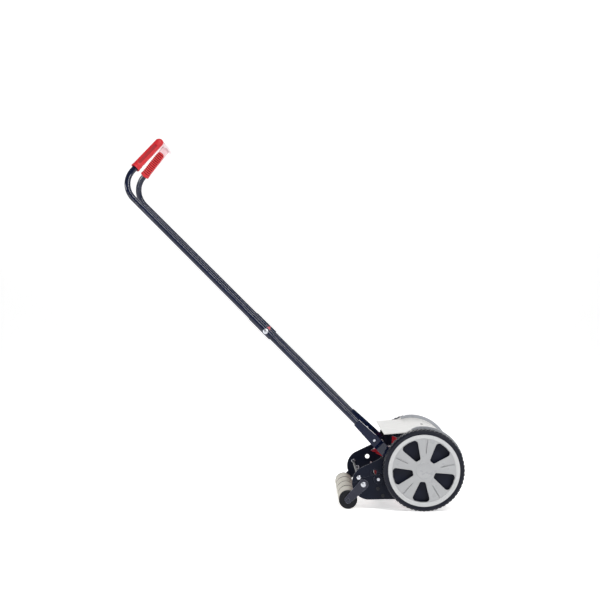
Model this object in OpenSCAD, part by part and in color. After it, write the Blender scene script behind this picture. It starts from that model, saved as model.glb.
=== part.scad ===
// Push reel mower with an internal gear in each wheel, a five-blade reel, a fixed
// bottom blade, a segmented rear roller and a two-piece tubular handle.
// X points forward, Z up, and the mower's right-hand side is at -Y.
// Sub-parts are drawn round the wheel axle line, then lifted and shifted so that
// the origin lies on the ground at the middle of the whole mower's bounding box.

/* [Wheels] */
// Radius over the tread lugs
tyre_r = 123; // [117:1:129]
// Width of the tyre
tyre_w = 40; // [36:1:46]
// Radial thickness of the tyre
tyre_depth = 15; // [12.5:0.5:15.5]
// Height of the tread lugs
lug_h = 1.2; // [0.8:0.2:2.4]
// Number of tread lugs in each of the two rows
lug_count = 54; // [40:1:64]
// Radial wall of the wheel rim
rim_wall = 7; // [5:0.5:8]
// Thickness of the wheel disc
web_t = 4; // [3:0.5:5]
// Radius of the stub axle
axle_r = 6; // [5:0.5:8]
// Radius of the wheel hub
hub_r = 14; // [11:0.5:15]
// How far the wheel cap covers the side of the tyre
cap_lap = 1.5; // [1:0.5:3]
// Width of the cap's raised outer ring
cap_ring_w = 13.5; // [12:0.5:15]
// Thickness of the cap
cap_t = 3; // [2.4:0.2:3.4]
// Windows and grooves in the wheel cap
window_count = 5; // [4:1:6]
// Inner radius of the cap windows
window_r0 = 34; // [30:1:40]
// Width of a cap window at its inner end
window_w0 = 21; // [16:1:24]
// Width of a cap window at its outer end
window_w1 = 48; // [40:1:52]

/* [Gears] */
// Gear module
gear_m = 2.5; // [2.4:0.05:2.55]
// Teeth of the ring gear in each wheel
ring_teeth = 70; // [68:1:71]
// Teeth of the pinion on the reel shaft
pinion_teeth = 16; // [14:1:18]
// Width of the teeth
gear_w = 10; // [8:1:12]
// Play between meshing teeth, on the pitch circle
gear_play = 0.4; // [0.3:0.1:0.6]

/* [Reel] */
// Angle of the reel axis seen from the wheel axle
reel_angle = 194; // [188:1:198]
// Cutting radius of the reel
reel_r = 75; // [72:0.5:76]
// Length of the blades, which sets the width of the whole mower
blade_len = 372; // [330:1:430]
// Thickness of a blade
blade_t = 3; // [2:0.5:4]
// Radial depth of a blade
blade_h = 18; // [14:1:22]
// Twist of a blade from end to end
blade_twist = 72; // [50:1:90]
// Radius of the reel shaft
shaft_r = 6; // [5:0.5:6]
// Thickness of a spider
spider_t = 3; // [2:0.5:5]
// Angle of the first blade at the middle of the reel
reel_phase = 52; // [0:1:72]

/* [Chassis] */
// Room between the ends of the blades and each side plate
end_room = 11; // [9:0.5:16]
// Thickness of the side plates
plate_t = 3; // [2:0.5:4]
// Radius of the side plates round the axle
plate_r = 108; // [104:1:109]
// Radius of the plate's round tail
tail_r = 51.5; // [47:0.5:53]
// Height of the plate's pressed upper band
band_t = 1.2; // [0.8:0.2:1.4]
// Radius of the hook holes in the side plates
hook_hole_r = 7.5; // [5:0.5:8]
// Radius of the rear tie rod
rear_rod_r = 4; // [3:0.5:5]
// Radius of the front tie rod
front_rod_r = 6; // [5:0.5:8]
// Gap between the reel and the bottom blade
cut_gap = 0.4; // [0.3:0.1:0.6]
// Thickness of the bottom blade
knife_t = 3.5; // [3:0.5:4]
// Depth of the bottom blade from front to back
knife_d = 36; // [34:1:42]
// Wall of the angle bar that carries the bottom blade
bar_t = 4; // [3:0.5:5]
// Radius of the adjuster boss
boss_r = 15; // [11:0.5:16]

/* [Cover] */
// Outer radius of the cover's side rims
cover_r = 128; // [124:0.5:131]
// Depth of the middle panel below the rims
panel_sink = 12; // [8:0.5:14]
// Thickness of the panel
cover_t = 3; // [2:0.5:4]
// Width of each side rim
rim_w = 10; // [8:0.5:14]
// Angle at which the cover ends in front
cover_front = 17; // [12:1:24]

/* [Roller] */
// Radius of the roller
roller_r = 28.5; // [25:0.5:29]
// Gap between neighbouring roller segments
segment_gap = 10.5; // [6:0.5:16]
// Radius of the roller shaft
roller_shaft_r = 4; // [3:0.5:5]
// Thickness of the roller's end discs
end_disc_t = 6; // [4:0.5:8]
// Thickness of the roller arms
arm_t = 3; // [2:0.5:3.5]

/* [Handle] */
// Outer radius of the lower tubes
lower_r = 8.5; // [7:0.25:9]
// Outer radius of the upper tubes
upper_r = 9.5; // [9:0.25:11]
// Wall of the tubes
tube_wall = 1.5; // [1:0.25:2]
// Radius of the bend under the grips
bend_r = 68; // [55:1:80]
// Radius of the grips
grip_r = 14.5; // [13:0.25:16]
// Length of the grips
grip_len = 127; // [110:1:130]
// Cross ribs inside each grip
rib_count = 10; // [6:1:12]
// Thickness of the handle bracket's plate
bracket_t = 3; // [2:0.5:3.5]
// Half width of the bracket at the pivot
bracket_foot = 17; // [15:0.5:17]
// Angle of the handle above the horizontal
handle_angle = 45; // [42:0.5:50]
// Length from the pivot to the middle joint
lower_len = 534; // [480:1:600]
// Length from the middle joint to the corner of the bend
upper_len = 640; // [560:1:700]

/* [Hidden] */
$fn = 72;

// Clearances
run_gap = 0.05;        // a shaft turning in its bore, on the radius
slip_gap = 0.3;        // between parts that pass each other
eps = 0.01;            // overshoot of a cut
clear = 1;             // overshoot where a bore runs out into the open

// Distances from the mower's middle plane, outwards
plate_in = blade_len / 2 + end_room;
plate_out = plate_in + plate_t;
arm_in = plate_out + band_t + 0.5;      // arms and brackets pass outside the pressed band
arm_out = arm_in + arm_t;
bracket_in = arm_in;
bracket_mid = bracket_in + bracket_t / 2;
bracket_out = bracket_in + bracket_t;
wheel_in = plate_out + 11;
wheel_out = wheel_in + tyre_w;
gear_in = wheel_in + 1;
gear_out = gear_in + gear_w;
clip_t = 1.5;
shaft_end = gear_out + 2.5;
web_in = shaft_end + 2.5;
cap_out = wheel_out - 1;                // the raised ring's outer face
spoke_out = cap_out - 1.5;              // the spoke disc is slightly recessed
axle_end = spoke_out - cap_t - 0.5;
cap_seat = cap_out - 4;                 // the rim's edge that carries the cap
axle_clip_y = axle_end - 1 - clip_t;
shaft_clip_y = gear_out + 0.3;
boss_seat = plate_out + band_t;

// Wheel
rim_out_r = tyre_r - tyre_depth;
rim_in_r = rim_out_r - rim_wall;
cap_r = rim_out_r + cap_lap;
cap_lip = wheel_out + run_gap;          // the cap's edge lies on the side of the tyre
groove_a0 = 83.7;                       // angle of the first groove of the cap
window_a0 = -96.3;                      // angle of the first window of the cap

// Gears: internal ring and pinion in mesh on the line towards the reel axis
ring_pitch_r = gear_m * ring_teeth / 2;
pinion_pitch_r = gear_m * pinion_teeth / 2;
centre_dist = ring_pitch_r - pinion_pitch_r;
gear_add = 0.8;                         // addendum in modules, kept short to clear the roots
gear_ded = 1.25;
pressure = 20;
pinion_hub_r = 13.5;
dust_hole_r = pinion_hub_r + 0.8;
pawl_y = plate_out + 4.5;               // the keys' slot through the reel shaft
pawl_w = 5;
pawl_reach = 9.4;

// Points seen from the side, as [x, z] round the axle
reel = centre_dist * [cos(reel_angle), sin(reel_angle)];
tail = [-163, -94.6 + tail_r];
hook_hole = [-147, -12];
rear_rod = [-194, -27];
front_rod = [50, 55];
boss = [-134.6, -32];
roller = [-226.3, roller_r - tyre_r];
roller_pivot = [-180, -48];
handle_pivot = [-100, 39.4];
plate_foot = -92;                       // lower edge of the plate under the axle

// Bolts and screws, by the radius of the shank
pivot_bolt_r = 4;
pivot_head_r = 8;
stop_r = 4;
boss_bolt_r = 3;
tab_bolt_r = 3;
screw_r = 2.5;
bolt_r = 3;
hex_over = 3;                           // how far a hexagon's corners stand out past its thread

// Bottom blade: its edge lies a little behind the reel's lowest point
knife_angle = 262;
knife_edge = reel + (reel_r + cut_gap) * [cos(knife_angle), sin(knife_angle)];
knife_back = knife_edge[0] - knife_d;
bar_front = knife_edge[0] - 21;
bar_back = knife_back - 18;
bar_rise = 15;
tab_t = 3.4;
tab_bolt_rear = [-136, -61.5];
tab_bolt_low = [bar_back + 9, knife_edge[1] + 8];
knife_screw_x = knife_back + 7;
knife_screw_ys = [for (i = [-2:2]) i * plate_in * 0.43];

// Cover lines seen from the side
panel_r = cover_r - panel_sink;
flap_end = [-117, 106.5];
flap_start = [-57, 110.5];
rim_top_x = -12;
skirt_r = plate_r - 6;
skirt_screws = [40, 78];
top_screw_angle = 8;

// Handle line: from the pivot up and back to the middle joint
handle_dir = [-cos(handle_angle), sin(handle_angle)];
handle_up = [sin(handle_angle), cos(handle_angle)];
corner_y = 140.5;                       // the tubes lean together towards the grips
socket_start = 50;                      // along the handle line from the pivot
socket_end = 142;
tube_foot = handle_pivot + socket_start * handle_dir;
joint = handle_pivot + lower_len * handle_dir;
corner = handle_pivot + (lower_len + upper_len) * handle_dir;
foot3 = [tube_foot[0], bracket_mid, tube_foot[1]];
corner3 = [corner[0], corner_y, corner[1]];
tube_dir = (corner3 - foot3) / norm(corner3 - foot3);
joint3 = foot3 + (lower_len - socket_start) / (lower_len + upper_len - socket_start) * (corner3 - foot3);
joint_y = joint3[1];
sleeve_below = 26;
sleeve_above = 60;
sleeve_taper = 5;
grip_dir = [0.632, -0.279, 0.723] / norm([0.632, -0.279, 0.723]);
grip_start = 72;                        // from the bend's corner to the grip
grip_foot3 = corner3 + grip_start * grip_dir;
tip3 = grip_foot3 + grip_len * grip_dir;
tube_end = grip_start + grip_len - 12;  // from the bend's corner to the tube's end, inside the grip
sleeve_r = lower_r + 2.75;
bracket_bolt_s = 67;
bracket_waist = 15;
socket_wall = 2.3;
socket_slip = 0.1;
lean = -tube_dir[1] / norm([tube_dir[0], tube_dir[2]]);     // the tubes' slope towards the middle
handle_stop = handle_pivot + 12 * handle_dir - (bracket_foot + stop_r + 0.3) * handle_up;
joint_head_r = 8.2;
bracket_head_r = 5.5;
wing_span = 30;
wing_h = 8;
rib_first = 14;
rib_last = grip_len - 36 + rib_first;
rib_w = 3.6;

// The bend, seen in its own plane: X to its first tangent point, Z along its axis
bend_half = acos(-tube_dir * grip_dir) / 2;
bend_tan = bend_r / tan(bend_half);
bend_mid = corner3 + (grip_dir - tube_dir) / norm(grip_dir - tube_dir) * bend_r / sin(bend_half);
bend_z = cross(tube_dir, grip_dir) / norm(cross(tube_dir, grip_dir));
bend_x = (corner3 - bend_tan * tube_dir - bend_mid) / bend_r;
bend_y = cross(bend_z, bend_x);

// The whole mower's box, for the origin
rear_x = bend_mid[0] - bend_r * sqrt(1 - bend_z[0] * bend_z[0]) - upper_r;
shift_x = -(rear_x + tyre_r) / 2;

// ---------- helpers ----------
// Moves a sub-part drawn round the axle into the row's frame
module place() { translate([shift_x, 0, tyre_r]) children(); }

// Draws the children for one side: 1 is left (+Y), -1 is right
module on_side(s) { if (s > 0) children(); else mirror([0, 1, 0]) children(); }

module both_sides() { for (s = [1, -1]) on_side(s) children(); }

// A flat outline [x, z] made solid from y0 to y1
module slab(y0, y1) { translate([0, y1, 0]) rotate([90, 0, 0]) linear_extrude(y1 - y0) children(); }

// A cylinder along Y at a point [x, z]
module rod(p, r, y0, y1) {
    translate([p[0], y1, p[1]]) rotate([90, 0, 0]) cylinder(r = r, h = y1 - y0);
}

// A profile [radius, y] turned about the Y axis through a point [x, z]
module turned(p = [0, 0]) { translate([p[0], 0, p[1]]) rotate([-90, 0, 0]) rotate_extrude() children(); }

// Carries Z onto the line from a to b; the local Y axis stays near the row's Y
module along(a, b) {
    d = (b - a) / norm(b - a);
    u = cross([0, 1, 0], d) / norm(cross([0, 1, 0], d));
    v = cross(d, u);
    multmatrix([[u[0], v[0], d[0], a[0]], [u[1], v[1], d[1], a[1]], [u[2], v[2], d[2], a[2]], [0, 0, 0, 1]])
        children();
}

function arc(r, a0, a1, n, c = [0, 0]) =
    [for (i = [0:n]) let (a = a0 + (a1 - a0) * i / n) c + r * [cos(a), sin(a)]];

function mix(a, b, t) = a + (b - a) * t;

function ease(t) = t * t * (3 - 2 * t);

// A straight tube from a to b
module pipe(a, b, ro, ri) {
    along(a, b) difference() {
        cylinder(r = ro, h = norm(b - a));
        translate([0, 0, -eps]) cylinder(r = ri, h = norm(b - a) + 2 * eps);
    }
}

// One flank of an involute tooth, from the base circle outwards, as polar [radius, angle]
function involute(rb, r) = let (c = rb / r, a = acos(c)) [r, tan(a) * 180 / PI - a];

// Outline of a gear whose teeth are centred at multiples of 360 / n
function gear_outline(n, m, r_root, r_tip, play) =
    let (rp = m * n / 2, rb = rp * cos(pressure), steps = 4,
         half = 90 / n + play / 2 / rp * 180 / PI, at_pitch = involute(rb, rp)[1],
         r_low = max(rb, r_root),
         flank = [for (i = [0:steps]) let (q = involute(rb, mix(r_low, r_tip, i / steps)))
                  [q[0], half + at_pitch - q[1]]],
         one = concat(r_root < r_low ? [[r_root, flank[0][1]]] : [], flank))
    [for (k = [0:n - 1]) each concat(
        [for (q = one) q[0] * [cos(k * 360 / n - q[1]), sin(k * 360 / n - q[1])]],
        [for (i = [len(one) - 1:-1:0]) one[i][0] * [cos(k * 360 / n + one[i][1]), sin(k * 360 / n + one[i][1])]])];

// ---------- chassis ----------
module plate_outline() {
    front = [-82.3, 52.2];
    waist = [-118, 2.3];
    difference() {
        circle(plate_r, $fn = 120);
        translate([-plate_r, plate_foot - plate_r]) square([2 * plate_r, plate_r]);
    }
    hull() { translate(tail) circle(tail_r); translate([-161, -37.5]) circle(47); translate(waist) circle(30); }
    hull() { translate(waist) circle(30); translate(front) circle(10); }
    hull() { translate(tail) circle(tail_r); translate([-60, plate_foot + 5]) circle(5); translate([-60, 0]) circle(30); }
}

// Line of the pressed step between the upper band and the lower field of the plate
module upper_field() {
    polygon([[-230, -45], [-205, -42], [-189, -30], [-154, -20], [-134, -13], [-112, -16], [-96, -30],
             [-60, -30], [-60, 120], [-230, 120]]);
}

module side_plate(s) {
    color("#23272f") place() on_side(s) difference() {
        union() {
            slab(plate_in, plate_out) plate_outline();
            slab(plate_out - eps, plate_out + band_t) difference() {
                intersection() {
                    plate_outline();
                    upper_field();
                    translate([-230, -60]) square([124, 105]);
                }
                translate(hook_hole) circle(hook_hole_r + 3);
            }
        }
        plate_bore(hook_hole, hook_hole_r);
        plate_bore([0, 0], axle_r + 2);
        plate_bore(reel, shaft_r + 7);
        plate_bore(rear_rod, rear_rod_r);
        plate_bore(front_rod, front_rod_r - 2);
        plate_bore(roller_pivot, pivot_bolt_r);
        plate_bore(handle_pivot, pivot_bolt_r);
        plate_bore(handle_stop, stop_r - 1);
        plate_bore(boss, boss_bolt_r);
        for (p = [tab_bolt_rear, tab_bolt_low]) plate_bore(p, tab_bolt_r);
        for (a = skirt_screws) plate_bore(skirt_r * [cos(a), sin(a)], screw_r);
    }
}

// A bore through the side plate and its pressed band
module plate_bore(p, r) { rod(p, r, plate_in - clear, plate_out + band_t + clear); }

// The panel and the side rims, seen from the side: d is the depth of the line below the rim's top
function panel_line(r, drop) = concat([flap_end - [0, drop], flap_start - [0, drop], [-30, sqrt(panel_r * panel_r - 900) - drop]],
    arc(r, 100, cover_front, 24));

function rim_line() = concat(
    [for (i = [0:8]) [mix(flap_start[0], rim_top_x, i / 8),
                      mix(flap_start[1], sqrt(cover_r * cover_r - rim_top_x * rim_top_x), ease(i / 8))]],
    arc(cover_r, 92, cover_front, 24));

module top_cover() {
    bottom = panel_line(panel_r - cover_t, cover_t);
    top = panel_line(panel_r, 0);
    rim_low = plate_r + slip_gap;
    color("#ecebe8") place() difference() {
        union() {
            slab(-plate_out, plate_out) polygon(concat(top, [for (i = [len(bottom) - 1:-1:0]) bottom[i]]));
            both_sides() {
                slab(plate_out - rim_w, plate_out)
                    polygon(concat(rim_line(), arc(rim_low, cover_front, 96, 24), [[-57, 107.5]]));
                slab(plate_in - 3.4, plate_in - 0.1)
                    polygon(concat(arc(panel_r - 1, 98, 26, 20), arc(skirt_r - 5, 26, 98, 20)));
            }
        }
        both_sides() for (a = skirt_screws)
            rod(skirt_r * [cos(a), sin(a)], screw_r, plate_in - 6, plate_out + 1);
        top_screw_place() translate([0, 0, -8]) cylinder(r = screw_r, h = 16);
    }
}

// The one screw on top of the panel, square to the panel
module top_screw_place() { rotate([0, top_screw_angle, 0]) translate([0, 0, panel_r]) children(); }

module cover_screws() {
    color("#2a2c31") place() {
        both_sides() for (a = skirt_screws) let (p = skirt_r * [cos(a), sin(a)]) {
            rod(p, screw_r, plate_in - 5, plate_out);
            rod(p, screw_r + 2, plate_out, plate_out + 2.4);
        }
        top_screw_place() { translate([0, 0, -7]) cylinder(r = screw_r, h = 7); pan_head(screw_r + 2, 2); }
    }
}

// A low domed screw head standing on z = 0
module pan_head(r, h) {
    rotate_extrude() polygon(concat([[0, 0], [r, 0]], [for (i = [0:6]) let (a = i * 15) [r * cos(a), h * (0.3 + 0.7 * sin(a))]]));
}

module front_tie_rod() {
    color("#23272f") place() {
        rod(front_rod, front_rod_r, -plate_in, plate_in);
        rod(front_rod, front_rod_r - 2, -plate_out - 3, plate_out + 3);
    }
}

module rear_tie_rod() {
    color("#c9ccd0") place() rod(rear_rod, rear_rod_r, -plate_out - band_t - 2.6, plate_out + band_t + 2.6);
}

// Nuts on both tie rods, each bored for its rod: the rear rod has one on each face of the plate
module tie_rod_nuts() {
    color("#c9ccd0") place() both_sides() {
        nut(rear_rod, rear_rod_r, plate_out + band_t, 2.6);
        nut(rear_rod, rear_rod_r, plate_in - 3.5, 3.5);
        nut(front_rod, front_rod_r - 2, plate_out, 3);
    }
}

module nut(p, r, y, h) {
    difference() {
        rod6(p, r + hex_over, y, y + h);
        rod(p, r, y - clear, y + h + clear);
    }
}

module rod6(p, r, y0, y1) {
    translate([p[0], y1, p[1]]) rotate([90, 0, 0]) cylinder(r = r, h = y1 - y0, $fn = 6);
}

module axle(s) {
    color("#9a9ea3") place() on_side(s) difference() {
        turned() polygon([[0, plate_in - 3], [axle_r + 5, plate_in - 3], [axle_r + 5, plate_in], [axle_r + 2, plate_in],
                          [axle_r + 2, plate_out], [hub_r, plate_out], [hub_r, plate_out + 4],
                          [axle_r, plate_out + 4], [axle_r, axle_end - 1], [axle_r - 1, axle_end], [0, axle_end]]);
        clip_groove([0, 0], axle_r, axle_clip_y);
    }
}

// A groove for a retaining ring in a shaft of radius r
module clip_groove(p, r, y) {
    turned(p) polygon([[r - 1, y], [r + 1, y], [r + 1, y + clip_t], [r - 1, y + clip_t]]);
}

module retaining_ring(p, r, y) {
    difference() {
        rod(p, r + 3.5, y, y + clip_t);
        rod(p, r - 1, y - 1, y + clip_t + 1);
        translate([p[0] - 1.5, y - 1, p[1]]) cube([3, clip_t + 2, r + 5]);
    }
}

module axle_clips() { color("#c9ccd0") place() both_sides() retaining_ring([0, 0], axle_r, axle_clip_y); }

module reel_bearings() {
    color("#3a3d42") place() both_sides() turned(reel) polygon([[shaft_r + run_gap, plate_in - 3.5],
        [shaft_r + 13, plate_in - 3.5], [shaft_r + 13, plate_in], [shaft_r + 7, plate_in],
        [shaft_r + 7, plate_out + 3], [shaft_r + run_gap, plate_out + 3]]);
}

// Pressed dish that closes the wheel's inner side: its flat middle is held against the side plate
module dust_cover(s) {
    t = 1.2;
    rim = wheel_in - 1.8;
    rim_r = ring_pitch_r - gear_add * gear_m - 1.5;
    color("#2b2f37") place() on_side(s) difference() {
        turned() polygon([[hub_r, plate_out], [44, plate_out], [52, rim - t], [rim_r, rim - t], [rim_r, rim],
                          [52 - 0.6, rim], [44 - 0.6, plate_out + t], [hub_r, plate_out + t]]);
        rod(reel, dust_hole_r, plate_out - 1, rim + 1);
        rod(front_rod, front_rod_r + 3, plate_out - 1, rim + 1);
    }
}

module bedknife() {
    z = knife_edge[1];
    color("#8d9196") place() difference() {
        slab(-plate_in + slip_gap, plate_in - slip_gap) polygon([knife_edge, [knife_edge[0] - 7, z], [knife_back, z],
            [knife_back, z - knife_t], [knife_edge[0] - 4, z - knife_t]]);
        for (y = knife_screw_ys) translate([knife_screw_x, y, z - knife_t]) countersunk(eps);
    }
}

// A countersunk screw that points up from z = 0; a mouth below it opens the cut for it
module countersunk(mouth) {
    cylinder(r1 = screw_r + 2, r2 = screw_r, h = 2);
    cylinder(r = screw_r, h = knife_t + bar_t);
    if (mouth > 0) translate([0, 0, -mouth]) cylinder(r = screw_r + 2, h = mouth);
}

module bedknife_screws() {
    color("#b5b9be") place() for (y = knife_screw_ys) translate([knife_screw_x, y, knife_edge[1] - knife_t]) countersunk(0);
}

// Angle bar over the back of the bottom blade, with an end tab bolted to each side plate
module bedknife_bar() {
    z = knife_edge[1];
    color("#23272f") place() difference() {
        union() {
            slab(-plate_in, plate_in) polygon([[bar_front, z], [bar_front, z + bar_t], [bar_back + bar_t, z + bar_t],
                [bar_back + bar_t, z + bar_rise], [bar_back, z + bar_rise], [bar_back, z]]);
            both_sides() slab(plate_in - tab_t, plate_in) hull() {
                translate(tab_bolt_rear) circle(8, $fn = 32);
                translate([bar_back + 6, z + 6]) circle(6, $fn = 32);
                translate([bar_front - 8, z + 6]) circle(6, $fn = 32);
            }
        }
        for (y = knife_screw_ys) translate([knife_screw_x, y, z - 1]) cylinder(r = screw_r, h = bar_t + 2);
        for (p = [tab_bolt_rear, tab_bolt_low]) rod(p, tab_bolt_r, -plate_in - 1, plate_in + 1);
    }
}

module bedknife_bolts() {
    color("#2a2c31") place() both_sides() for (p = [tab_bolt_rear, tab_bolt_low]) {
        rod(p, tab_bolt_r, plate_in - tab_t, plate_out);
        rod6(p, tab_bolt_r + hex_over, plate_out, plate_out + 1.2);
    }
}

module adjuster_bosses() {
    color("#22262d") place() both_sides() difference() {
        turned(boss) polygon([[boss_bolt_r, boss_seat], [boss_r, boss_seat], [boss_r, boss_seat + 3.5],
                              [boss_r - 1.5, boss_seat + 5], [boss_bolt_r, boss_seat + 5]]);
        for (a = [0:30:330]) rod(boss + (boss_r + 1) * [cos(a), sin(a)], 2.2, boss_seat - 1, boss_seat + 6);
    }
}

module adjuster_bolts() {
    color("#c9ccd0") place() both_sides() {
        rod(boss, boss_bolt_r, plate_in - 2, boss_seat + 5);
        rod6(boss, boss_bolt_r + 2.4, boss_seat + 5, boss_seat + 8);
    }
}

// Shoulder bolts on which the handle brackets turn
module handle_pivot_bolts() {
    color("#9a9ea3") place() both_sides() pivot_bolt(handle_pivot, bracket_out);
}

module roller_pivot_bolts() {
    color("#c9ccd0") place() both_sides() pivot_bolt(roller_pivot, arm_out);
}

// A bolt through plate and arm, with a nut on the inside and a domed head on the outside
module pivot_bolt(p, seat) {
    rod(p, pivot_bolt_r, plate_in - 4, seat + 0.2);
    rod6(p, pivot_bolt_r + hex_over, plate_in - 4, plate_in);
    turned(p) polygon(concat([[0, seat + 0.2], [pivot_head_r, seat + 0.2]],
        [for (i = [0:6]) [pivot_head_r * cos(i * 15), seat + 1.2 + 2.4 * sin(i * 15)]]));
}

module handle_stops() {
    color("#2a2c31") place() both_sides() {
        rod(handle_stop, stop_r - 1, plate_in - clear, plate_out + band_t);
        rod(handle_stop, stop_r, plate_out + band_t, bracket_out);
    }
}

// ---------- wheels ----------
module tyre(s) {
    r0 = tyre_r - lug_h;
    shoulder = 5;
    side = 4;                           // bare shoulder beside the tread
    gap = 0.6;                          // half the groove between the two rows of lugs
    mid = (wheel_in + wheel_out) / 2;
    color("#1d1f24") place() on_side(s) {
        turned() polygon(concat([[rim_out_r, wheel_in]],
            [for (i = [0:6]) [r0 - shoulder + shoulder * sin(i * 15), wheel_in + shoulder - shoulder * cos(i * 15)]],
            [for (i = [0:6]) [r0 - shoulder + shoulder * cos(i * 15), wheel_out - shoulder + shoulder * sin(i * 15)]],
            [[rim_out_r, wheel_out]]));
        slab(wheel_in + side, mid - gap) lug_ring(-90);
        slab(mid + gap, wheel_out - side) lug_ring(-90 + 180 / lug_count);
    }
}

// One row of tread lugs seen from the side: a toothed ring whose first tooth is at angle a0
module lug_ring(a0) {
    half = 360 / lug_count * 0.3;
    low = tyre_r - lug_h - 1;
    difference() {
        polygon([for (k = [0:lug_count - 1], q = [[low, -1], [tyre_r, -1], [tyre_r, 0], [tyre_r, 1], [low, 1]])
            let (a = a0 + k * 360 / lug_count + q[1] * half) q[0] * [cos(a), sin(a)]]);
        circle(low - 1);
    }
}

module wheel_body(s) {
    n = window_count;
    color("#20242c") place() on_side(s) difference() {
        union() {
            turned() polygon([[hub_r, plate_out + 4.4], [hub_r, web_in], [rim_in_r, web_in], [rim_in_r, wheel_in],
                [rim_out_r, wheel_in], [rim_out_r, cap_seat], [rim_in_r, cap_seat], [rim_in_r, web_in + web_t],
                [hub_r, web_in + web_t], [hub_r, axle_clip_y - 0.2], [axle_r + run_gap, axle_clip_y - 0.2],
                [axle_r + run_gap, plate_out + 4.4]]);
            for (k = [0:n - 1]) rotate([0, -(groove_a0 + k * 360 / n), 0])
                translate([hub_r - 1, web_in + web_t - eps, -2]) cube([rim_in_r - hub_r + 2, cap_seat - web_in - web_t - 2, 4]);
            slab(gear_in, gear_out) rotate(reel_angle) difference() {
                circle(rim_in_r + 0.5, $fn = 120);
                polygon(gear_outline(ring_teeth, gear_m, ring_pitch_r - gear_add * gear_m,
                    ring_pitch_r + gear_ded * gear_m, gear_play / 2));
            }
        }
    }
}

// A window of the cap: narrow near the hub, wide at the ring, with round corners
module window_shape() {
    r1 = cap_r - cap_ring_w - 2;
    small = 5.5;
    big = 7;
    a = asin((window_w1 / 2 - big) / (r1 - big));
    hull() {
        for (q = [-1, 1]) translate([window_r0 + small, q * (window_w0 / 2 - small)]) circle(small, $fn = 32);
        for (q = [-1, 0, 1]) rotate(q * a) translate([r1 - big, 0]) circle(big, $fn = 32);
    }
}

module wheel_cap(s) {
    n = window_count;
    ring_in = cap_r - cap_ring_w;
    color("#d3d5d8") place() on_side(s) difference() {
        turned() polygon([[0, spoke_out - cap_t], [ring_in - 1, spoke_out - cap_t], [ring_in - 1, cap_seat],
            [rim_out_r, cap_seat], [rim_out_r, cap_lip], [cap_r - 0.3, cap_lip], [cap_r, cap_lip + 0.3],
            [cap_r - 0.5, cap_lip + 0.8], [cap_r - 3, cap_lip + 0.8], [ring_in + 2, cap_out], [ring_in, spoke_out], [26, spoke_out], [24, spoke_out + 0.8], [0, spoke_out + 0.8]]);
        slab(spoke_out - cap_t - clear, cap_out + clear) for (k = [0:n - 1]) rotate(window_a0 + k * 360 / n) window_shape();
        slab(spoke_out - 0.8, cap_out + clear) for (k = [0:n - 1]) rotate(groove_a0 + k * 360 / n)
            polygon([[56, -0.6], [ring_in, -2], [ring_in, 2], [56, 0.6]]);
    }
}

// ---------- reel ----------
module reel_shaft() {
    color("#8d9196") place() difference() {
        rod(reel, shaft_r, -shaft_end, shaft_end);
        both_sides() {
            clip_groove(reel, shaft_r, shaft_clip_y);
            translate([reel[0] - 2.5, pawl_y, reel[1] - shaft_r - 1]) cube([5, pawl_w, 2 * shaft_r + 2]);
        }
    }
}

module shaft_clips() { color("#c9ccd0") place() both_sides() retaining_ring(reel, shaft_r, shaft_clip_y); }

// Keys that slide through the shaft and catch the pinions' inner notches when the mower is pushed
module pawl_keys() {
    color("#8d9196") place() both_sides()
        translate([reel[0] - 2.4, pawl_y + 0.1, reel[1] - pawl_reach]) cube([4.8, pawl_w - 0.2, 2 * pawl_reach]);
}

// Angle of blade i where it passes y
function blade_angle(i, y) = 72 * i + reel_phase + blade_twist * y / blade_len;

module reel_spiders() {
    color("#b3202e") place() for (y = [-blade_len / 2 + 8, -blade_len / 6, blade_len / 6, blade_len / 2 - 8])
        translate([reel[0], 0, reel[1]]) slab(y - spider_t / 2, y + spider_t / 2) difference() {
            union() {
                circle(shaft_r + 10);
                for (i = [0:4]) rotate(blade_angle(i, y)) polygon([[0, -9], [shaft_r + 16, -6.5],
                    [reel_r - blade_h - 0.3, -4], [reel_r - blade_h - 0.3, 4], [shaft_r + 16, 6.5], [0, 9]]);
            }
            circle(shaft_r);
        }
}

// A blade: its cross-section carried along the shaft and turned as it goes
module reel_blade(i) {
    section = blade_section();
    n = len(section);
    steps = 30;
    rings = [for (k = [0:steps]) let (y = blade_len * (k / steps - 0.5), a = blade_angle(i - 1, y)) each
             [for (q = section) [reel[0] + q[0] * cos(a) - q[1] * sin(a), y, reel[1] + q[0] * sin(a) + q[1] * cos(a)]]];
    sides = [for (k = [0:steps - 1], j = [0:n - 1]) let (a = k * n + j, b = k * n + (j + 1) % n) each
             [[a, b, b + n], [a, b + n, a + n]]];
    ends = [[for (j = [n - 1:-1:0]) j], [for (j = [0:n - 1]) steps * n + j]];
    color("#b3202e") place() polyhedron(rings, concat(ends, sides));
}

// A blade's cross-section: a strip whose outer corner is relieved behind the edge
function blade_section() = [[reel_r - blade_h, -blade_t / 2], [sqrt(reel_r * reel_r - blade_t * blade_t / 4), -blade_t / 2],
    [reel_r - 1.2, blade_t / 2], [reel_r - blade_h, blade_t / 2]];

module pinion(s) {
    y0 = plate_out + 3.4;
    color("#6f7378") place() on_side(s) difference() {
        union() {
            rod(reel, pinion_hub_r, y0, gear_in);
            translate([reel[0], 0, reel[1]]) slab(gear_in, gear_out) rotate(reel_angle)
                polygon(gear_outline(pinion_teeth, gear_m, pinion_pitch_r - gear_ded * gear_m,
                    pinion_pitch_r + gear_m, -gear_play / 2));
        }
        rod(reel, shaft_r + run_gap, y0 - 1, gear_out + 1);
        rod(reel, 10.2, y0 - 1, pawl_y + pawl_w + 0.5);
        for (k = [0:2]) translate([reel[0], 0, reel[1]]) rotate([0, -k * 120, 0])
            translate([7, y0 - 1, 0]) cube([5, pawl_y + pawl_w + 0.5 - y0 + 1, 3.2]);
    }
}

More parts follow.
